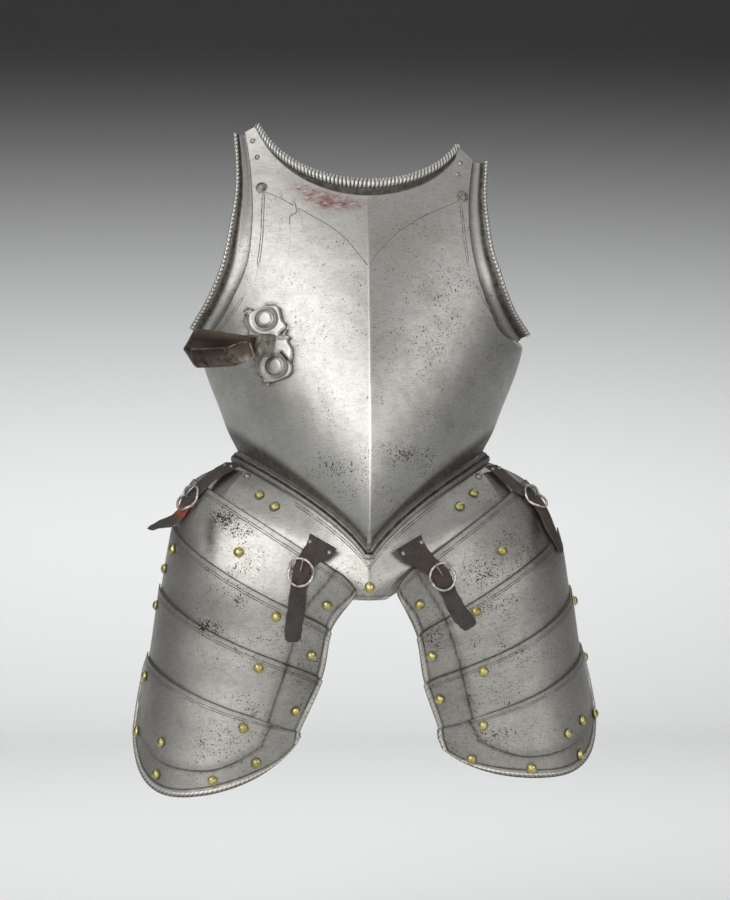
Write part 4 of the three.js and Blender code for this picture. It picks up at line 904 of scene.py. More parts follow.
# %% The surface of the tassets
TASSET_COLUMNS = "v x forward out in deep keel z slope lift from to roundIn roundOut border"
TASSET = {
    RIGHT: table(
        TASSET_COLUMNS,
        (-1, 0, 0, 133, 133, 157.5, 0.43, -103, 0.745, 0, 3, 76, 0, 0, 0.16),
        (0, 0, 2.7, 181, 181, 151, 0.3, -137.6, 0.63, 0, 2.5, 76, 0, 0, 0.1),
        (1, 95, 28, 102, 100, 94, 0, -149, 0.5, 0.26, -37, 82, 0, 0, 0.16),
        (2, 112, 18, 99, 99, 95, 0, -203, 0.4, 0.26, -43.5, 85, 0, 0, 0.19),
        (3, 134, 10, 90, 90, 94, 0, -263.5, 0.346, 0.22, -49, 85, 0, 0, 0.19),
        (4, 150, 5, 91, 110, 91, 0, -350, -0.12, 0, -50.5, 86, 46, 56, 0.22),
    ),
    LEFT: table(
        TASSET_COLUMNS,
        (-1, 0, 0, 133, 133, 157.5, 0.43, -103, 0.745, 0, 7.5, 76, 0, 0, 0.16),
        (0, 0, 2.7, 179, 179, 151, 0.3, -146, 0.68, 0, 7.5, 76, 0, 0, 0.1),
        (1, 105, 28, 102, 91, 94, 0, -153, 0.6, 0.15, -36, 80, 0, 0, 0.16),
        (2, 129, 18, 94, 95, 95, 0, -208, 0.41, 0.29, -45.5, 85, 0, 0, 0.19),
        (3, 148, 10, 87.5, 90, 94, 0, -260, 0.347, 0.27, -52, 85, 0, 0, 0.19),
        (4, 164, 5, 89, 108, 91, 0, -337, 0.02, 0, -52, 86, 34, 54, 0.22),
    ),
}
LAMES, HIP = 4, 1.07  # a lame grows wider than the table by the hip's share
LAME = dict(overlap=0.22, step=3, sunk=1.2, lip=2.9)
CORNER = (0.25, 0.09, 0.09)  # how far each band lame's inner top corner is rounded, as a share of its height


def tasset_point(side, s, v):
    """Each row of the table gives a curve across the thigh: an angle that grows with s, its sine sideways
    and bulge forward, and a height that slopes, lifts at the back and curls up at both ends. A smooth curve
    down through those rows gives v."""
    s, v = np.broadcast_arrays(np.asarray(s, float), np.asarray(v, float))
    row = {name: values.reshape(-1, *[1] * s.ndim) for name, values in TASSET[side].items()}
    angle = np.radians(mix(row["from"], row["to"], s[None]))
    out = np.where(angle < 0, row["in"], row["out"]) * np.sin(angle)
    bend = bulge(angle, row["keel"])
    back = np.where(angle > 0, row["deep"] * (1 - bend), 0)
    end = 2 * s[None] - 1
    curl = np.where(end < 0, row["roundIn"], row["roundOut"]) * np.abs(end) ** 2.4
    x = side * (row["x"] + out)
    forward = row["forward"] + row["deep"] * bend
    z = row["z"] + row["slope"] * out + row["lift"] * back + curl
    rows = TASSET[side]["v"]
    return place(through(rows, x, v), through(rows, forward, v), through(rows, z, v))


def tasset_normal(side, s, v):
    """The tasset's outward normal, taken just inside the borders of its surface."""
    clipped = np.clip(s, 0.002, HIP - 0.002), np.clip(v, -0.99, 3.995)
    return normals_of(lambda a, b: tasset_point(side, a, b), *clipped, -side)


def lame_point(side, number, s, v, lift=0.0):
    """On the tasset's surface, raised by lift and by the lame's own slope: a whole step at its top, nothing
    at its foot, so that it lies over the lame above and under the one below."""
    off = LAME["step"] * (1 - (v - number + 1) / (1 + LAME["overlap"])) + lift
    return tasset_point(side, s, v) + tasset_normal(side, s, v) * np.asarray(off)[..., None]


thigh = tasset_point(RIGHT, 0.5, 4) - tasset_point(RIGHT, 0.5, 0)
print("down the thigh:", round(float(np.linalg.norm(thigh))), "mm")

# %% The band lames
RIM = dict(width=8, nicks=5.2)


def rim_relief(from_rim, along):
    """The turned rim's height, half an ellipse across its width, and its nicks: 1 less a sine, cubed,
    slanting."""
    share = np.clip(from_rim / RIM["width"], 0, 1)
    round_top = np.sqrt(np.clip(1 - (2 * share - 0.75) ** 2 / 0.57, 0, 1))
    nick = (1 - np.abs(np.sin(np.pi * (along + 0.7 * from_rim) / RIM["nicks"]))) ** 3
    return round_top, nick * (share < 0.85) * (share > 0)


def lame_facts(side, grid, from_top, from_rim, from_step, nick):
    """Painted shade in the seam above, along the step, in the crease inside the rim and beside the straps;
    grime below the seam, over the sunk border and at the rim's edge; grime and painted shade in the nicks;
    twin lines below the seam; a bright crest on the rim, rubbed and with a painted highlight."""
    # painted shade at the seam, grime in a band below it, painted shade along the step, then grime over the
    # sunk border
    grime_and_shade = 0.95 * hill(from_top, 1.1) + 0.14 * hill(from_top - 4, 7) + 0.5 * hill(from_step - 0.4, 0.9)
    grime_and_shade = grime_and_shade + 0.3 * hill(from_step - 2.5, 5) + 0.2 * (from_step < 0) + 0.45 * hill(from_rim, 2.4)
    # grime and painted shade in the nicks, painted shade in the crease inside the rim
    grime_and_shade = grime_and_shade + 0.95 * nick + 0.7 * hill(from_rim - 8.4, 1.1)
    grime_and_shade = grime_and_shade + patches(grid, STRAP_SHADE[side]) + patches(grid, LAME_DIRT[side])
    return {
        "grime_and_shade": np.clip(grime_and_shade, 0, 1),
        "pair": from_top - 7.2,
        "pitting": patches(grid, LAME_PITS[side]),
        # the rim's crest, rubbed and with a painted highlight
        "rubbed_and_highlight": 0.75 * hill(from_rim - 4.8, 1.5) * (1 - nick) * (from_rim < 12),
    }


LAME_PITS = {
    RIGHT: [
        (-148, -66, 17, 13, 1.1), (-130, -78, 16, 12, 1.1), (-134, -150, 12, 12, 0.9),
        (-165, -178, 20, 10, 1.2), (-105, -200, 45, 30, 0.45), (-150, -120, 60, 40, 0.35),
        (-130, -290, 60, 40, 0.5), (-60, -230, 25, 60, 0.5),
    ],
    LEFT: [
        (150, -100, 50, 24, 0.6), (125, -120, 34, 20, 0.7), (140, -160, 60, 16, 0.5),
        (150, -205, 60, 20, 0.45), (72, -190, 14, 20, 0.8), (120, -250, 60, 24, 0.4),
        (125, -290, 50, 20, 0.6), (100, -310, 40, 14, 0.5),
    ],
}
# Old dirt under the seams, and over the whole left side.
LAME_DIRT = {
    RIGHT: [
        (-165, -165, 55, 26, 0.3), (-165, -225, 50, 24, 0.26), (-180, -285, 45, 22, 0.22),
        (-60, -225, 22, 50, 0.2),
    ],
    LEFT: [
        (160, -100, 60, 34, 0.42), (150, -150, 120, 90, 0.16), (130, -260, 100, 90, 0.16),
        (105, -190, 60, 14, 0.24), (120, -255, 60, 14, 0.24),
    ],
}
# Painted shade beside the hanging straps.
STRAP_SHADE = {RIGHT: [(-161, -82, 7, 26, 0.8)], LEFT: [(181, -60, 8, 36, 0.85)]}


def sunk_border(from_step):
    """1 on the sunk border and 0 on the raised field, over a step 3 mm wide."""
    return 1 - smooth((from_step + 1.6) / 3)


def lame_sheets(side, number, s, v, sunk, round_top, nick):
    """The outer and inner grids of a lame: the sunk border, the rim on it and the nicks in the rim."""
    base = -LAME["sunk"] * sunk
    raised = base + LAME["lip"] * round_top * 0.75 - 0.7 * nick
    return lame_point(side, number, s, v, raised), lame_point(side, number, s, v, base - LAME_THICKNESS)


def gone_along(grid, axis):
    """How far along each row or column a point lies: the running sum of the steps between neighbours."""
    first = np.take(grid, [0], axis)
    return np.cumsum(np.linalg.norm(np.diff(grid, axis=axis, prepend=first), axis=-1), axis=axis)


def band_lame(side, number):
    """One of the upper three: d goes down it from 0 to 1 and on under the next, share across it from the
    crotch."""
    down = np.r_[np.linspace(0, 0.2, 18), np.linspace(0.215, 1 + LAME["overlap"], 56)]
    over = np.r_[np.linspace(0, 0.34, 44), np.linspace(0.36, 1, 70)]
    share, d = np.broadcast_arrays(over[None], down[:, None])
    v = number - 1 + d
    s = share * (1 + (HIP - 1) * smooth(v))
    # the inner top corner is a quarter of an ellipse, which the rows below follow less and less
    corner = 1 - np.sqrt(1 - (1 - np.clip(s / 0.12, 0, 1)) ** 2)
    v = v + CORNER[number - 1] * corner * np.maximum(0, 1 - d * 1.4)
    flat = tasset_point(side, s, v)
    from_rim, along = gone_along(flat, 1), gone_along(flat, 0)
    from_step = (s - column(TASSET[side], "v", "border", v) - 0.012) * from_rim[:, -1:] / s[:, -1:]
    round_top, nick = rim_relief(from_rim, along)
    starts = smooth((d - 0.3) / 0.12) if number == 1 else 1.0  # the first rim begins below the fauld
    round_top, nick = round_top * starts, nick * round_top * starts
    outer, inner = lame_sheets(side, number, s, v, sunk_border(from_step), round_top, nick)
    return outer, inner, lame_facts(side, outer, along, from_rim, from_step, nick)


# %% The rounded end lames
END_HEIGHT = 88  # from its upper edge to its foot
END = table(
    "k s d border field",
    (0, 0, 0.1, 1, 0.38), (1, 0, 0.55, 1, 0.4), (2, 0.02, 1, 1, 0.45), (3, 0.13, 1, 1, 0.55),
    (4, 0.24, 1, 1, 0.65), (5, 0.35, 1, 1, 0.72), (6, 0.45, 1, 1, 0.74), (7, 0.55, 1, 1, 0.74),
    (8, 0.66, 1, 1, 0.74), (9, 0.77, 1, 1, 0.74), (10, 0.88, 1, 1, 0.74), (11, 0.98, 1, 0.5, 0.74),
    (12, 1, 0.6, 0, 0.74), (13, 1, 0.3, 0, 0.74), (14, 1, 0, 0, 0.74),
)


def end_lame(side):
    """A fan: k runs round the outline by the table, and out from a short line in the upper edge (0) to that
    outline (1), on straight lines in s and v."""
    count = END["k"][-1]
    k = np.linspace(0, count, 260)
    edge = {name: np.interp(k, END["k"], END[name]) for name in END}
    edge["field"] = column(END, "k", "field", k)
    out = np.r_[np.linspace(0, 0.62, 26), np.linspace(0.64, 1, 44)][:, None]
    s = mix(mix(0.3, 0.85, k / count), edge["s"] * HIP, out)
    v = LAMES - 1 + edge["d"] * out
    flat = tasset_point(side, s, v)
    gone = gone_along(flat, 0)
    from_rim, from_step = gone[-1:] - gone, (edge["field"] - out) * gone[-1:]
    along = gone_along(flat[-1], 0) + 0 * s
    round_top, nick = rim_relief(from_rim, along)
    ends = smooth(k / 0.4) * smooth((count - k) / 0.8)
    round_top, nick = round_top * ends, nick * round_top * ends
    sunk = sunk_border(from_step) * edge["border"]
    outer, inner = lame_sheets(side, LAMES, s, v, sunk, round_top, nick)
    from_top = (v - (LAMES - 1)) * END_HEIGHT
    from_step = np.where(edge["border"] > 0.2, from_step, FAR)
    return outer, inner, lame_facts(side, outer, from_top, from_rim, from_step, nick)


for side, name in ((RIGHT, "right"), (LEFT, "left")):
    for number in range(1, LAMES + 1):
        outer, inner, facts = band_lame(side, number) if number < LAMES else end_lame(side)
        node = f"tasset_{name}_lame_{number}"
        make(f"{node}_steel", shell(outer, inner, -side), LAME_STEEL, [node], facts=facts)
print("tassets: two of", LAMES, "lames")

# %% [markdown]
# ## Rivets
# Every rivet is a head hammered over a shank: a low dome on a thin foot, never quite round. The two at the
# shoulders are cut like flowers, one with straight petals and one with petals that swirl, because the
# gussets turn on them.

# %% Brass heads
RIVET = dict(radius=5.6, height=4, gap=0.8)
LAME_RIVETS = {
    RIGHT: table(
        "lame across down border",
        (1, 0.52, 0.62, 0), (1, 0.08, 0.66, 1), (2, 0.29, 0.24, 0), (2, 0.09, 0.69, 1), (2, 0.92, 0.26, 0),
        (2, 0.99, 0.68, 0), (3, 0.32, 0.23, 0), (3, 0.08, 0.67, 1), (3, 1, 0.27, 0), (4, 0.32, 0.19, 0),
        (4, 0.235, 0.72, 1), (4, 0.42, 0.84, 1), (4, 0.73, 0.86, 1), (4, 0.72, 0.58, 0), (4, 0.96, 0.2, 0),
        (4, 0.96, 0.78, 0),
    ),
    LEFT: table(
        "lame across down border",
        (1, 0.53, 0.625, 0), (1, 0.076, 0.59, 1), (2, 0.33, 0.16, 0), (2, 0.07, 0.56, 1), (3, 0.3, 0.2, 0),
        (3, 0.065, 0.43, 1), (3, 0.97, 0.15, 0), (4, 0.25, 0.18, 0), (4, 0.17, 0.84, 1), (4, 0.43, 0.87, 1),
        (4, 0.73, 0.88, 1), (4, 0.66, 0.6, 0), (4, 0.78, 0.59, 0), (4, 1, 0.15, 0), (4, 0.97, 0.86, 0),
    ),
}
FAULD_RIVETS = table("across down", (-0.54, 0.25), (-0.446, 0.26), (0, 0.5), (0.456, 0.29), (0.563, 0.27))


def dome_profile(radius, height, foot=0.12):
    """A thin foot, then an arc: height times the square root of one less the square of the share out."""
    turn = np.linspace(0, 1, 9) * np.pi / 2
    out = np.r_[radius * 0.97, radius, radius * 0.9 * np.cos(turn)]
    up = np.r_[0, foot * height, foot * height + (1 - foot) * height * np.sin(turn)]
    return out, up


def brass_head(node, base, normal, k):
    """A dome a little out of round, wider by two waves and five waves round it, each head turned its own
    way."""
    radius = RIVET["radius"] * (1 + 0.03 * math.sin(5.1 * k))
    out, up = dome_profile(radius, RIVET["height"] * (1 + 0.06 * math.sin(3.7 * k)))
    uneven = lambda angle, share: 1 + 0.03 * np.cos(2 * angle + 2.3 * k) + 0.02 * np.cos(5 * angle + k)
    head = turned(base + normal * RIVET["gap"], normal, out, up, flute=uneven)
    lift = ((head[0] - base) @ normal - RIVET["gap"]) / RIVET["height"]
    facts = {"grime_and_shade": np.clip(1 - lift / 0.3, 0, 1) * 0.9}
    make(f"brass_{node}", head, BRASS, [node], facts=facts, weld=True, sharp=50)


for side, name in ((RIGHT, "right"), (LEFT, "left")):
    for k, (lame, s, down, border) in enumerate(zip(*LAME_RIVETS[side].values())):
        s, v = np.array(s), np.array(lame - 1 + down)
        at = lame_point(side, lame, s, v, -LAME["sunk"] * border)
        brass_head(f"rivet_{name}_{k + 1}", at, tasset_normal(side, s, v), k)
for k, (u, v) in enumerate(zip(*FAULD_RIVETS.values())):
    brass_head(f"rivet_fauld_{k + 1}", fauld_point(u, v), fauld_normal(u, v), k + 7)
print("brass heads:", sum(len(rows["lame"]) for rows in LAME_RIVETS.values()) + k + 1)

# %% Steel heads on the chest and the fauld
def flower_head(base, normal, swirl):
    """A ring with a dome in it, cut by eight flutes: the fourth power of a cosine with four waves round the
    head. A swirl turns the waves as they climb."""
    turn = np.linspace(0, 1, 12) * np.pi / 2
    out, up = np.r_[6.4, 6.6, 5.6, 5.7 * np.cos(turn)], np.r_[0, 1.3, 1.6, 1.6 + 3.8 * np.sin(turn)]
    flute = lambda angle, share: 1 - 0.5 * (share > 0.12) * np.abs(np.cos(4 * angle + swirl * 4 * share)) ** 4
    return turned(base, normal, out, up, 72, flute)


steel_heads = [
    flower_head(*on_chest(x, z, -0.8), swirl) for x, z, swirl in ((-106.4, 281, 2.6), (105.5, 272.7, 0))
]
for x, z in ((-115, 333), (-110.3, 315), (104.5, 309.5), (101, 297)):
    steel_heads.append(turned(*on_chest(x, z, -0.6), *dome_profile(3.3, 3.0), 20))
for u, v in np.array([(-0.7, 0.14), (0.7, 0.15)]):
    normal = fauld_normal(u, v)
    steel_heads.append(turned(fauld_point(u, v) - 0.5 * normal, normal, *dome_profile(4.3, 3.4), 20))
make("steel_rivet_heads", together(*steel_heads), DARK_IRON, weld=True, sharp=50)
print("steel heads:", len(steel_heads))

# %% [markdown]
# ## Straps
# A strap is leather of one thickness that bends only along its length. Its middle line follows the tasset
# at a height given by the table, and its width is laid off on the curved surface on either side of that
# line, so that it neither sinks into the steel nor floats. The edges are pared round.

# %% The straps' tables
STRAP_THICKNESS = 2.2
STRAPS = {
    "inner_right": dict(side=RIGHT, buckle=4, apart=11.5, rows=table(
        "s v raise half",
        (0.193, -0.486, 1.4, 17), (0.2, -0.2, 2.4, 14.5), (0.218, 0.05, 3.5, 10.5), (0.228, 0.22, 5.2, 9),
        (0.23, 0.35, 5.9, 9), (0.226, 0.48, 5.8, 8.6), (0.222, 0.66, 5.1, 8.4), (0.208, 1, 3.8, 9),
        (0.205, 1.3, 2.9, 9), (0.199, 1.5, 2.5, 8), (0.197, 1.56, 2.4, 5),
    )),
    "inner_left": dict(side=LEFT, buckle=4, apart=11.5, rows=table(
        "s v raise half",
        (0.117, -0.62, 1.4, 17), (0.13, -0.3, 2.4, 14.5), (0.16, 0.05, 4.2, 10.5), (0.19, 0.25, 5.2, 9),
        (0.206, 0.38, 5.9, 9), (0.214, 0.51, 5.8, 8.6), (0.224, 0.7, 4.9, 8.2), (0.25, 1.03, 3.8, 9),
        (0.274, 1.22, 3.1, 9), (0.286, 1.33, 2.8, 7.5), (0.289, 1.36, 2.7, 5),
    )),
    "outer_right": dict(side=RIGHT, buckle=5, apart=5, rows=table(
        "s v raise half",
        (0.958, -0.82, 1.4, 12), (0.92, -0.6, 1.6, 11), (0.88, -0.3, 2.4, 9.5), (0.865, 0.06, 3.9, 8.5),
        (0.88, 0.24, 5.2, 8.5), (0.897, 0.375, 5.9, 8.5), (0.91, 0.5, 5.8, 8.5), (0.93, 0.68, 5.3, 8.5),
        (0.965, 0.86, 8.4, 8.5), (0.985, 0.98, 17, 8), (0.99, 1.08, 25, 7.5), (0.99, 1.11, 27.5, 4.5),
    )),
    "outer_left": dict(side=LEFT, buckle=5, apart=5, rows=table(
        "s v raise half",
        (0.93, -0.74, 1.4, 9), (0.88, -0.5, 1.7, 8.5), (0.835, -0.26, 2.4, 8.5), (0.825, 0.03, 3.6, 8.5),
        (0.86, 0.2, 5.2, 8.5), (0.88, 0.334, 5.9, 8.5), (0.883, 0.46, 5.8, 8.5), (0.883, 0.62, 5.3, 8.5),
        (0.87, 0.8, 4.3, 8.5), (0.878, 1, 4.6, 8.5), (0.89, 1.17, 4.4, 8), (0.895, 1.23, 4.3, 4.5),
    )),
}
BUCKLE = dict(wide=13.6, long=14.6, waist=0.08, wire=1.35, bar=4.2, loop=10.2, tongue=11.5, tongue_wire=1.1)
print("strap tables:", {name: len(strap["rows"]["s"]) for name, strap in STRAPS.items()})


# %% Straps on the curve of the tasset
def strap_row(strap, row):
    """s, v, how far it stands off and half its width, at any place along the rows of its table."""
    order = np.arange(len(strap["rows"]["s"]))
    row = np.asarray(row, float)
    return [through(order, strap["rows"][name], row) for name in ("s", "v", "raise", "half")]


def strap_frame(strap, row):
    """Directions along, across and out of a strap at a place along its rows."""
    row = np.asarray(row, float)
    last = len(strap["rows"]["s"]) - 1

    def middle(at):
        """The point of the middle line at a place along the rows."""
        s, v, lift, _ = strap_row(strap, np.clip(at, 0, last))
        return tasset_point(strap["side"], s, v) + tasset_normal(strap["side"], s, v) * lift[..., None]

    s, v, _, _ = strap_row(strap, row)
    out = tasset_normal(strap["side"], s, v)
    along = unit(middle(row + 0.5) - middle(row - 0.5))
    return along, unit(np.cross(along, out)), out


def beside(strap, row, across, along, lift):
    """The point of the tasset's surface reached from a row by moving across and along in its tangent plane,
    raised by lift. The move is turned into steps of s and v by solving the surface's two-by-two metric."""
    side = strap["side"]
    s, v, _, _ = strap_row(strap, row)
    forth, over, out = strap_frame(strap, row)
    move = over * np.asarray(across)[..., None] + forth * np.asarray(along)[..., None]
    e = 1e-3
    ds = (tasset_point(side, s + e, v) - tasset_point(side, s - e, v)) / (2 * e)
    dv = (tasset_point(side, s, v + e) - tasset_point(side, s, v - e)) / (2 * e)
    dot = lambda a, b: (a * b).sum(-1)
    ss, sv, vv, ms, mv = dot(ds, ds), dot(ds, dv), dot(dv, dv), dot(move, ds), dot(move, dv)
    scale = 1 / (ss * vv - sv * sv)
    at = tasset_point(side, s + (ms * vv - mv * sv) * scale, v + (mv * ss - ms * sv) * scale)
    return at + out * np.asarray(lift)[..., None]


def leather_strap(name, strap):
    """A strap and its facts. Its section is a superellipse: the cosine to the power 0.22 across and the
    sine to the power 0.5 through the leather. It is warm where the buckle has rubbed it and along both
    edges."""
    last = len(strap["rows"]["s"]) - 1
    row = np.r_[np.linspace(0, 0.06, 4), np.linspace(0.1, last - 0.05, 16 * last), last]
    angle = np.linspace(0, 2 * np.pi, 36, endpoint=False)
    wide = np.sign(np.cos(angle)) * np.abs(np.cos(angle)) ** 0.22
    thick = np.sign(np.sin(angle)) * np.abs(np.sin(angle)) ** 0.5
    _, _, lift, half = strap_row(strap, row)
    # pared ends, and an edge that wanders by a third of a millimetre
    pared = np.minimum(smooth(row / 0.05 + 0.75), 1)
    half = half * pared + 0.3 * np.sin(row * 7.1) * (row > 0.5)
    rows = np.broadcast_to(row[:, None], (len(row), 36))
    height = lift[:, None] + STRAP_THICKNESS / 2 * (1 + thick[None] * (1 + 0.25 * (1 - np.abs(wide[None]))))
    rings = beside(strap, rows, half[:, None] * wide[None], np.zeros(rows.shape), height)
    full = np.concatenate([rows[:1], rows, rows[-1:]])
    near = hill(full - strap["buckle"], 0.9) * 0.65 + 0.35 * hill(full - strap["buckle"] + 2.2, 0.9)
    warm = np.clip(near, 0, 1) if "inner" in name else 0.9 * hill(full - strap["buckle"] - 1.75, 0.5)
    warm = warm + 0.35 * (np.abs(np.broadcast_to(wide, full.shape)) > 0.97)
    if "outer" in name:
        rusty = smooth((np.broadcast_to(wide, full.shape) + 0.4) * 1.6)
        warm = np.clip(warm * (0.35 + 0.65 * rusty), 0, 1)
    facts, node, finish = {"warm": np.clip(warm, 0, 1)}, f"strap_{name}", STRAP_FINISH[name]
    make(f"{node}_leather", tube(rings), finish, [node], facts=facts, sharp=50, weld=True)


STRAP_FINISH = {
    "inner_right": LEATHER,
    "inner_left": LEATHER,
    "outer_right": leather_finish("rust_stained_strap_leather", "#3d3936", "#2f2c2a", "#b5561f"),
    "outer_left": leather_finish("dry_strap_leather", "#413a35", "#2d2926", "#4f3a31"),
}
for name, strap in STRAPS.items():
    leather_strap(name, strap)
print("straps:", list(STRAPS))

# %% [markdown]
# ## Buckles
# Iron wire bent into two loops that meet at a bar. The loops rise over the strap and the bar passes under
# it, so the ring's height swings from low at the waist to high at the ends. The tongue is a thinner wire
# with its point on the upper loop.

# %% The buckles and the straps' own rivets
def buckle_wire(name, strap):
    """The ring, its bar, tongue and tab. The ring is an ellipse drawn in at the bar by a hill, as high as
    its end is from the bar; the bar bends down under the strap, and the tongue rises over it and on to the
    ring."""
    k = strap["buckle"]
    turn = np.linspace(0, 2 * np.pi, 96, endpoint=False)
    pinch = 1 - BUCKLE["waist"] * hill(np.sin(turn), 0.25)
    height = mix(7.2, BUCKLE["loop"], smooth(np.abs(np.sin(turn)) * 1.35))
    spot = lambda x, y, h: beside(strap, np.full(np.shape(x), float(k)), x, y, h)
    path = spot(BUCKLE["wide"] * np.cos(turn) * pinch, BUCKLE["long"] * np.sin(turn), height)
    out = np.broadcast_to(strap_frame(strap, float(k))[2], path.shape)
    worn = BUCKLE["wire"] * (1 + 0.06 * np.sin(3 * turn + 1) + 0.04 * np.sin(7 * turn))
    # two more places at either end give the ring's first and last the slope they have once it is closed
    profile = round_profile(np.r_[worn[-2:], worn, worn[:2]], 12)
    ring_path = np.concatenate([path[-2:], path, path[:2]])
    rings = carried(ring_path, np.concatenate([out[:2], out, out[:2]]), profile)[2:-2]
    half = BUCKLE["wide"] * (1 - BUCKLE["waist"])
    across = np.linspace(-1, 1, 16)
    bar = spot(half * across, 0 * across, mix(BUCKLE["bar"], 7.2, smooth(np.abs(across) * 4 - 3)))
    profile = round_profile(np.full(16, BUCKLE["wire"] * 0.9), 10)
    bar = carried(bar, np.broadcast_to(out[0], bar.shape), profile)
    rows, wide = np.broadcast_arrays(np.linspace(k, k + 2, 14)[:, None], np.linspace(-6.5, 6.5, 5))
    under = through([0, 1, 2], [3.4, 3.5, 3.1], rows - k)
    face = lambda lift: beside(strap, rows, wide, 0 * wide, under + lift)
    node = f"buckle_{name}"
    wires = together(tube(rings, closed=True), tube(bar))
    make(f"{node}_wire", wires, IRON, [node], weld=True, sharp=60)
    hide = SUEDE if name == "outer_right" else LEATHER
    make(f"{node}_tab", shell(face(1.6), face(0.0), 1), hide)
    order, at = np.arange(4.0), np.linspace(0, 3, 22)
    y = through(order, [1, -0.3, -2.5, -BUCKLE["long"] - 1.4], at)
    h = through(order, [BUCKLE["bar"], 6.8, BUCKLE["tongue"], BUCKLE["loop"] + 1.6], at)
    tongue, profile = spot(0 * y, y, h), round_profile(BUCKLE["tongue_wire"] * np.linspace(1.1, 0.7, 22), 10)
    tongue = carried(tongue, np.broadcast_to(out[0], tongue.shape), profile)
    make(f"{node}_tongue", tube(tongue), DARK_IRON, weld=True, sharp=60)


strap_studs = []
for name, strap in STRAPS.items():
    buckle_wire(name, strap)
    for sign in (-1, 1):
        lift = strap_row(strap, 0.0)[2] + STRAP_THICKNESS - 0.4
        base = beside(strap, 0.0, sign * strap["apart"], 7.0, lift)
        strap_studs.append(turned(base, strap_frame(strap, 0.0)[2], *dome_profile(2.9, 2.2), 18))
make("strap_rivet_heads", together(*strap_studs), DARK_IRON, weld=True, sharp=50)
print("buckles:", len(STRAPS))

# %% [markdown]
# ## The lance rest
# A forged bracket on the wearer's right: a plate of two lobes held by two broad bolts, two lugs with a pin,
# and a folded arm that swings up on the pin. The plate follows the chest, so its points come from the
# chest's own surface.

# %% The rest's plate
REST = dict(gap=0.5, x=-115.5, forward=101, z=113, turn=math.radians(45))  # x, forward and z are the hinge's
BOLTS = ((-102.9, 141), (-92.1, 92))
REST_CUTS = [
    [(-79, 134), (-82, 130), (-86.5, 125.5)],
    [(-77.5, 96), (-82, 100), (-86.5, 105.5)],
]

z, share = np.linspace(REST_LOW, REST_HIGH, 160), np.linspace(0, 1, 80)
from_x, to_x = (column(REST_EDGES, "z", name, z)[:, None] for name in ("from", "to"))
x, z = np.broadcast_arrays(mix(from_x, to_x, share), z[:, None])
rim_gap = np.minimum(np.minimum(x - from_x, to_x - x), np.minimum(z - REST_LOW, REST_HIGH - z))
pillow = 2.2 * (1 - (1 - np.clip(rim_gap / 3.2, 0, 1)) ** 2.2) + 0.75
slots = nearest_line(place(x, 0 * x, z), REST_CUTS)
deep = hill(slots, 1.2)
from_tongue = z - 121.2
tongue = 1.4 * hill(from_tongue, 1.9) * smooth((x + 92) / 6)
tongue = tongue - 0.9 * hill(from_tongue, 0.6) * smooth((x + 90) / 6)
from_bolt = np.min([np.hypot(x - x0, z - z0) for x0, z0 in BOLTS], axis=0)
ring = 0.9 * hill(from_bolt - 15, 2.4) - 0.6 * hill(from_bolt - 10.5, 1.6)
outer = on_chest(x, z, REST["gap"] + pillow - 2.2 * deep + tongue + ring * smooth(rim_gap / 2))[0]
# painted shade in the slots and along the plate's edge, and a painted shadow round each bolt
grime_and_shade = 1.5 * deep + 0.7 * hill(rim_gap, 1.1)
grime_and_shade = grime_and_shade + 0.75 * hill(from_bolt - 9.2, 1.1) + 0.3 * hill(from_bolt - 11.5, 2)
facts = {
    "grime_and_shade": np.clip(grime_and_shade, 0, 1),
    "line": np.abs(slots) - 2.6,
    # the crest of the edge's roll, rubbed and with a painted highlight
    "rubbed_and_highlight": 0.3 * hill(rim_gap - 2.6, 1.4),
}
plate = shell(outer, on_chest(x, z, REST["gap"] + 0 * x)[0], 1)
make("lance_rest_plate_steel", plate, PLATE_STEEL, ["lance_rest_plate"], facts=facts)
print("lance rest plate:", outer.shape[:2])

# %% Its bolts, and the little scrolls at its two ends
heads = []
for x0, z0 in BOLTS:
    base, normal = on_chest(x0, z0, REST["gap"] + 1.8)
    turn = np.linspace(0, 1, 10) * np.pi / 2
    out, up = np.r_[8.2, 8.4, 8 * np.cos(turn) ** 0.5], np.r_[0, 1.8, 2 + 1.7 * np.sin(turn)]
    heads.append(turned(base, normal, out, up, 44))
make("lance_rest_bolts", together(*heads), PLATE_STEEL, weld=True, sharp=50)
SCROLLS = [
    [(-125.5, 149), (-122.5, 153.5), (-118.5, 151)], [(-121.5, 149), (-120.5, 143), (-122.5, 136)],
    [(-125.5, 145), (-121, 147.5), (-117, 146)], [(-118, 153), (-115.5, 150), (-115, 146.5)],
    [(-124, 141), (-120.5, 139.5)],
    [(-111, 85.5), (-104, 81), (-97, 78.5)], [(-108.5, 81.5), (-103, 78), (-98, 76)],
    [(-105, 77), (-101.5, 72.5), (-97, 74)], [(-101.5, 77), (-99, 71.5)],
]
curls = []
profile = round_profile(1.5 * np.sin(np.linspace(0.35, 2.8, 14)) ** 0.5, 10)
for points in SCROLLS:
    given = np.linspace(0, 1, len(points))
    x, z = (np.interp(np.linspace(0, 1, 14), given, [p[k] for p in points]) for k in (0, 1))
    curls.append(tube(carried(*on_chest(x, z, REST["gap"] + 0 * x), profile)))
grime_and_shade = np.clip(0.35 + 0.5 * np.sin(np.arange(sum(len(p) for p, _ in curls)) * 0.7), 0, 1)
facts = {"grime_and_shade": grime_and_shade}
make("lance_rest_scrolls", together(*curls), PLATE_STEEL, facts=facts, weld=True, sharp=60)
print("bolts:", len(heads), "curls:", len(curls))

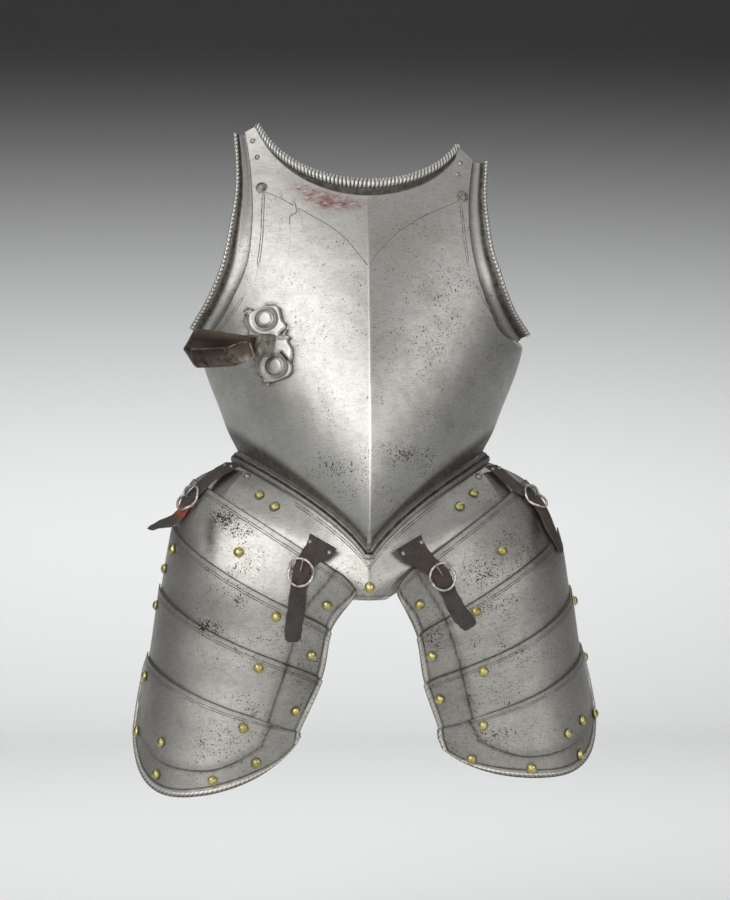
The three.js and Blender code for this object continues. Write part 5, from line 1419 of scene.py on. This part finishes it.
# %% The rest's hinge and arm
ahead = place(-math.sin(REST["turn"]), math.cos(REST["turn"]), 0)
beside_arm = place(math.cos(REST["turn"]), math.sin(REST["turn"]), 0)
hinge = place(REST["x"], REST["forward"], REST["z"])


def from_hinge(q, h, z):
    """A point by its reach q along the arm, h across the fold and height z."""
    q, h, z = np.broadcast_arrays(np.asarray(q, float), h, z)
    return hinge + q[..., None] * ahead + h[..., None] * beside_arm + z[..., None] * np.array([0, 0, 1.0])


def hinge_tube(radius, start, end, sides=24):
    """A rod along the fold's axis, drawn in a little at both ends."""
    path = from_hinge(np.zeros(9), np.linspace(start, end, 9), np.zeros(9))
    swell = np.array([0.86, 0.97, 1, 1, 1, 1, 1, 0.97, 0.86]) * radius
    return tube(carried(path, np.broadcast_to(ahead, path.shape), round_profile(swell, sides)))


def lug(h0, h1):
    """A rounded block from inside the plate to just past the pin: a superellipse carried along the
    reach."""
    q = np.linspace(-18, 7, 14)
    angle = np.linspace(0, 2 * np.pi, 28, endpoint=False)
    pull = np.sqrt(np.clip(1 - (np.clip(q + 1, 0, 8) / 8.6) ** 2, 0, 1))
    wide = (h1 - h0) / 2 * np.sign(np.cos(angle)) * np.abs(np.cos(angle)) ** 0.35
    tall = 12.0 * pull[:, None] * np.sign(np.sin(angle)) * np.abs(np.sin(angle)) ** 0.4
    rings = from_hinge(np.broadcast_to(q[:, None], tall.shape), (h0 + h1) / 2 + wide[None], tall)[:, ::-1]
    chest = on_chest(rings[..., 0], rings[..., 2])[0]
    rings[..., 1] = np.minimum(rings[..., 1], chest[..., 1] + 1.2)  # it ends in the thickness of the chest
    return tube(rings)


hinged = together(lug(-13, -7), lug(7, 13), hinge_tube(4, -14, 14.2))
make("lance_rest_lugs", hinged, DARK_IRON, weld=True, sharp=45)

ARM = table(
    "q top bottom middle tip back vertex trough",
    (5, 8.6, -8.6, 0, 6.5, -6.5, -6.5, 6.5), (14, 9, -15, -1, 6.5, -6.5, -6.6, 6),
    (24, 10, -19, -2, 6, -3, -9, -1), (36, 11, -22, -3, 5, 1, -12.5, -7),
    (60, 13, -24, -4.5, 4.5, 1, -14.5, -10.5), (84, 14.5, -25, -6, 4, 1, -15.5, -11.8),
    (90, 14.6, -24.6, -6, 4, 1, -15.5, -11.8),
)


def arm_rings():
    """The arm's section is a V lying on its side: six corners whose places change along its reach. The
    corners are rounded by sliding extra points along the straight runs between them."""
    q = np.r_[np.linspace(5, 86, 64), 88, 89.4, 90]
    part = {name: column(ARM, "q", name, q) for name in ARM}
    shrink = np.r_[np.ones(64), 0.97, 0.9, 0.8][:, None]
    corners_h = np.stack([part[k] for k in ("tip", "back", "vertex", "back", "tip", "trough")], -1)
    corners_z = np.stack([part[k] for k in ("top", "top", "middle", "bottom", "bottom", "middle")], -1)
    runs = np.array([0.04, 0.5, 0.96])
    nxt = np.roll(np.arange(6), -1)
    spread = lambda c: (c[:, :, None] * (1 - runs) + c[:, nxt][:, :, None] * runs).reshape(len(q), -1)
    h, z = spread(corners_h), spread(corners_z)
    middle_h, middle_z = h.mean(1, keepdims=True), z.mean(1, keepdims=True)
    h, z = middle_h + (h - middle_h) * shrink, middle_z + (z - middle_z) * shrink
    dent = 0.35 * np.sin(q * 0.31)[:, None] * np.sin(z * 0.4)
    return from_hinge(q[:, None] + 0 * h, h + dent, z)


def on_arm(points, radius):
    """A raised wire lying in the arm's fold, through points given as (reach, height)."""
    order = np.arange(len(points))
    q, z = (through(order, [p[k] for p in points], np.linspace(0, order[-1], 24)) for k in (0, 1))
    part = {name: column(ARM, "q", name, q) for name in ARM}
    end = np.where(z > part["middle"], part["top"], part["bottom"])
    h = mix(part["trough"], part["tip"], (z - part["middle"]) / (end - part["middle"]))
    path = from_hinge(q, h + 0.4, z)
    return tube(carried(path, np.broadcast_to(beside_arm, path.shape), round_profile(np.full(24, radius), 8)))


wires = (
    on_arm([(14, 2), (10.5, -6), (7, -12)], 0.9),
    on_arm([(46, -13), (38, -10), (33, -3), (24, 2), (17, 3)], 0.8),
)
arm = together(tube(arm_rings()), hinge_tube(9, -6.5, 6.5, 30), *wires)
height = arm[0][:, 2] - hinge[2]
reach = (arm[0] - hinge) @ ahead
# painted shade on the upper face of the fold, which faces down away from the lamps, lighter at its top edge
# and tip; more in the pocket near the hinge
upper = smooth((height + 7) / 4) * (1 - 0.6 * hill(height - 11.5, 2.5)) * (1 - 0.5 * smooth((reach - 84) / 5))
pocket = 0.9 * hill(reach - 18, 14) * smooth((height + 16) / 6)
grime_and_shade = np.clip(0.85 * np.maximum(upper, pocket), 0, 1)
grime_and_shade[-sum(len(p) for p, _ in wires) :] = 0.1
node, facts = "lance_rest_arm", {"grime_and_shade": grime_and_shade}
make(f"{node}_steel", arm, BROWNED, [node], node, facts, sharp=30, weld=True)
print("lance rest arm:", len(arm[0]), "points")

# %% [markdown]
# ## The studio
# Steel has no colour of its own: it shows what stands round it. A pale floor that curves up into a pale
# wall, one broad lamp high on the left, a weaker one on the right, a strip overhead and a low one in front
# give wide, soft reflections. The wall stands nearly four metres back and has a lamp of its own, and
# painted shade darkens its colour upwards.

# %% Floor and wall
def sweep():
    """A floor that rolls up into a wall: straight, a quarter circle of 900 mm, then straight."""
    turn = np.linspace(0, np.pi / 2, 24)
    y = np.r_[-4200, -1500, 900 * np.sin(turn) + 2900, 3800]
    z = np.r_[-620, -620, 900 * (1 - np.cos(turn)) - 620, 3200]
    x = np.linspace(-6000, 6000, 9)
    grid = np.stack(np.broadcast_arrays(x[None], y[:, None], z[:, None]), -1)
    return grid.reshape(-1, 3), quads(*grid.shape[:2])


paper, paper_tree, paper_shader, paper_place = finish_named("matt_studio_paper")
# painted shade: the paper's colour goes from near white low down to near black high up the wall
height = add(paper_tree, "SeparateXYZ", "Z", _0=paper_place)
smoothly = dict(interpolation_type="SMOOTHSTEP", From_Min=-0.3, From_Max=1.05)
fade = add(paper_tree, "MapRange", Value=height, **smoothly)
tone = add(paper_tree, "Mix", 2, data_type="RGBA", _0=fade, _6="#f6f7f7", _7="#262626")
paper_tree.links.new(tone, paper_shader.inputs["Base Color"])
paper_shader.inputs["Roughness"].default_value = 0.9
points, faces = sweep()
floor_mesh = bpy.data.meshes.new("studio_floor")
floor_mesh.from_pydata(points * MM, [], faces)
floor_mesh.polygons.foreach_set("use_smooth", np.ones(len(floor_mesh.polygons), bool))
floor_mesh.materials.append(paper)
floor = bpy.data.objects.new("studio_floor", floor_mesh)
bpy.context.collection.objects.link(floor)
print("studio floor:", len(points), "points")


# %% Lamps and air
def lamp(name, where, aim, size, watts):
    """A soft box: a flat lamp of a given width and height in metres, turned to face a point."""
    light = bpy.data.lights.new(name, "AREA")
    light.shape, light.size, light.size_y, light.energy = "RECTANGLE", size[0], size[1], watts
    made = bpy.data.objects.new(name, light)
    bpy.context.collection.objects.link(made)
    made.location = where
    made.rotation_euler = (Vector(aim) - Vector(where)).to_track_quat("-Z", "Y").to_euler()


lamp("key", (-1.75, -2.4, 1.3), (0, 0, 0.05), (2.6, 2.2), 62)
lamp("fill", (1.9, -2.1, 0.6), (0, 0, 0), (1.5, 2.0), 23)
lamp("over", (0.0, -0.5, 2.2), (0, 0, 0), (2.2, 0.9), 10)
lamp("low_front", (-0.6, -3.4, -0.5), (0, 0, -0.15), (2.4, 1.3), 37)
lamp("paper_light", (0, 1.2, 2.0), (0, 3.4, -0.5), (4.5, 1.0), 65)
world = bpy.data.worlds.new("air")
world.use_nodes = True
world.node_tree.nodes["Background"].inputs["Color"].default_value = linear("#8c8c8e")
world.node_tree.nodes["Background"].inputs["Strength"].default_value = 0.42
bpy.context.scene.world = world
bpy.context.scene.view_settings.view_transform = "Standard"
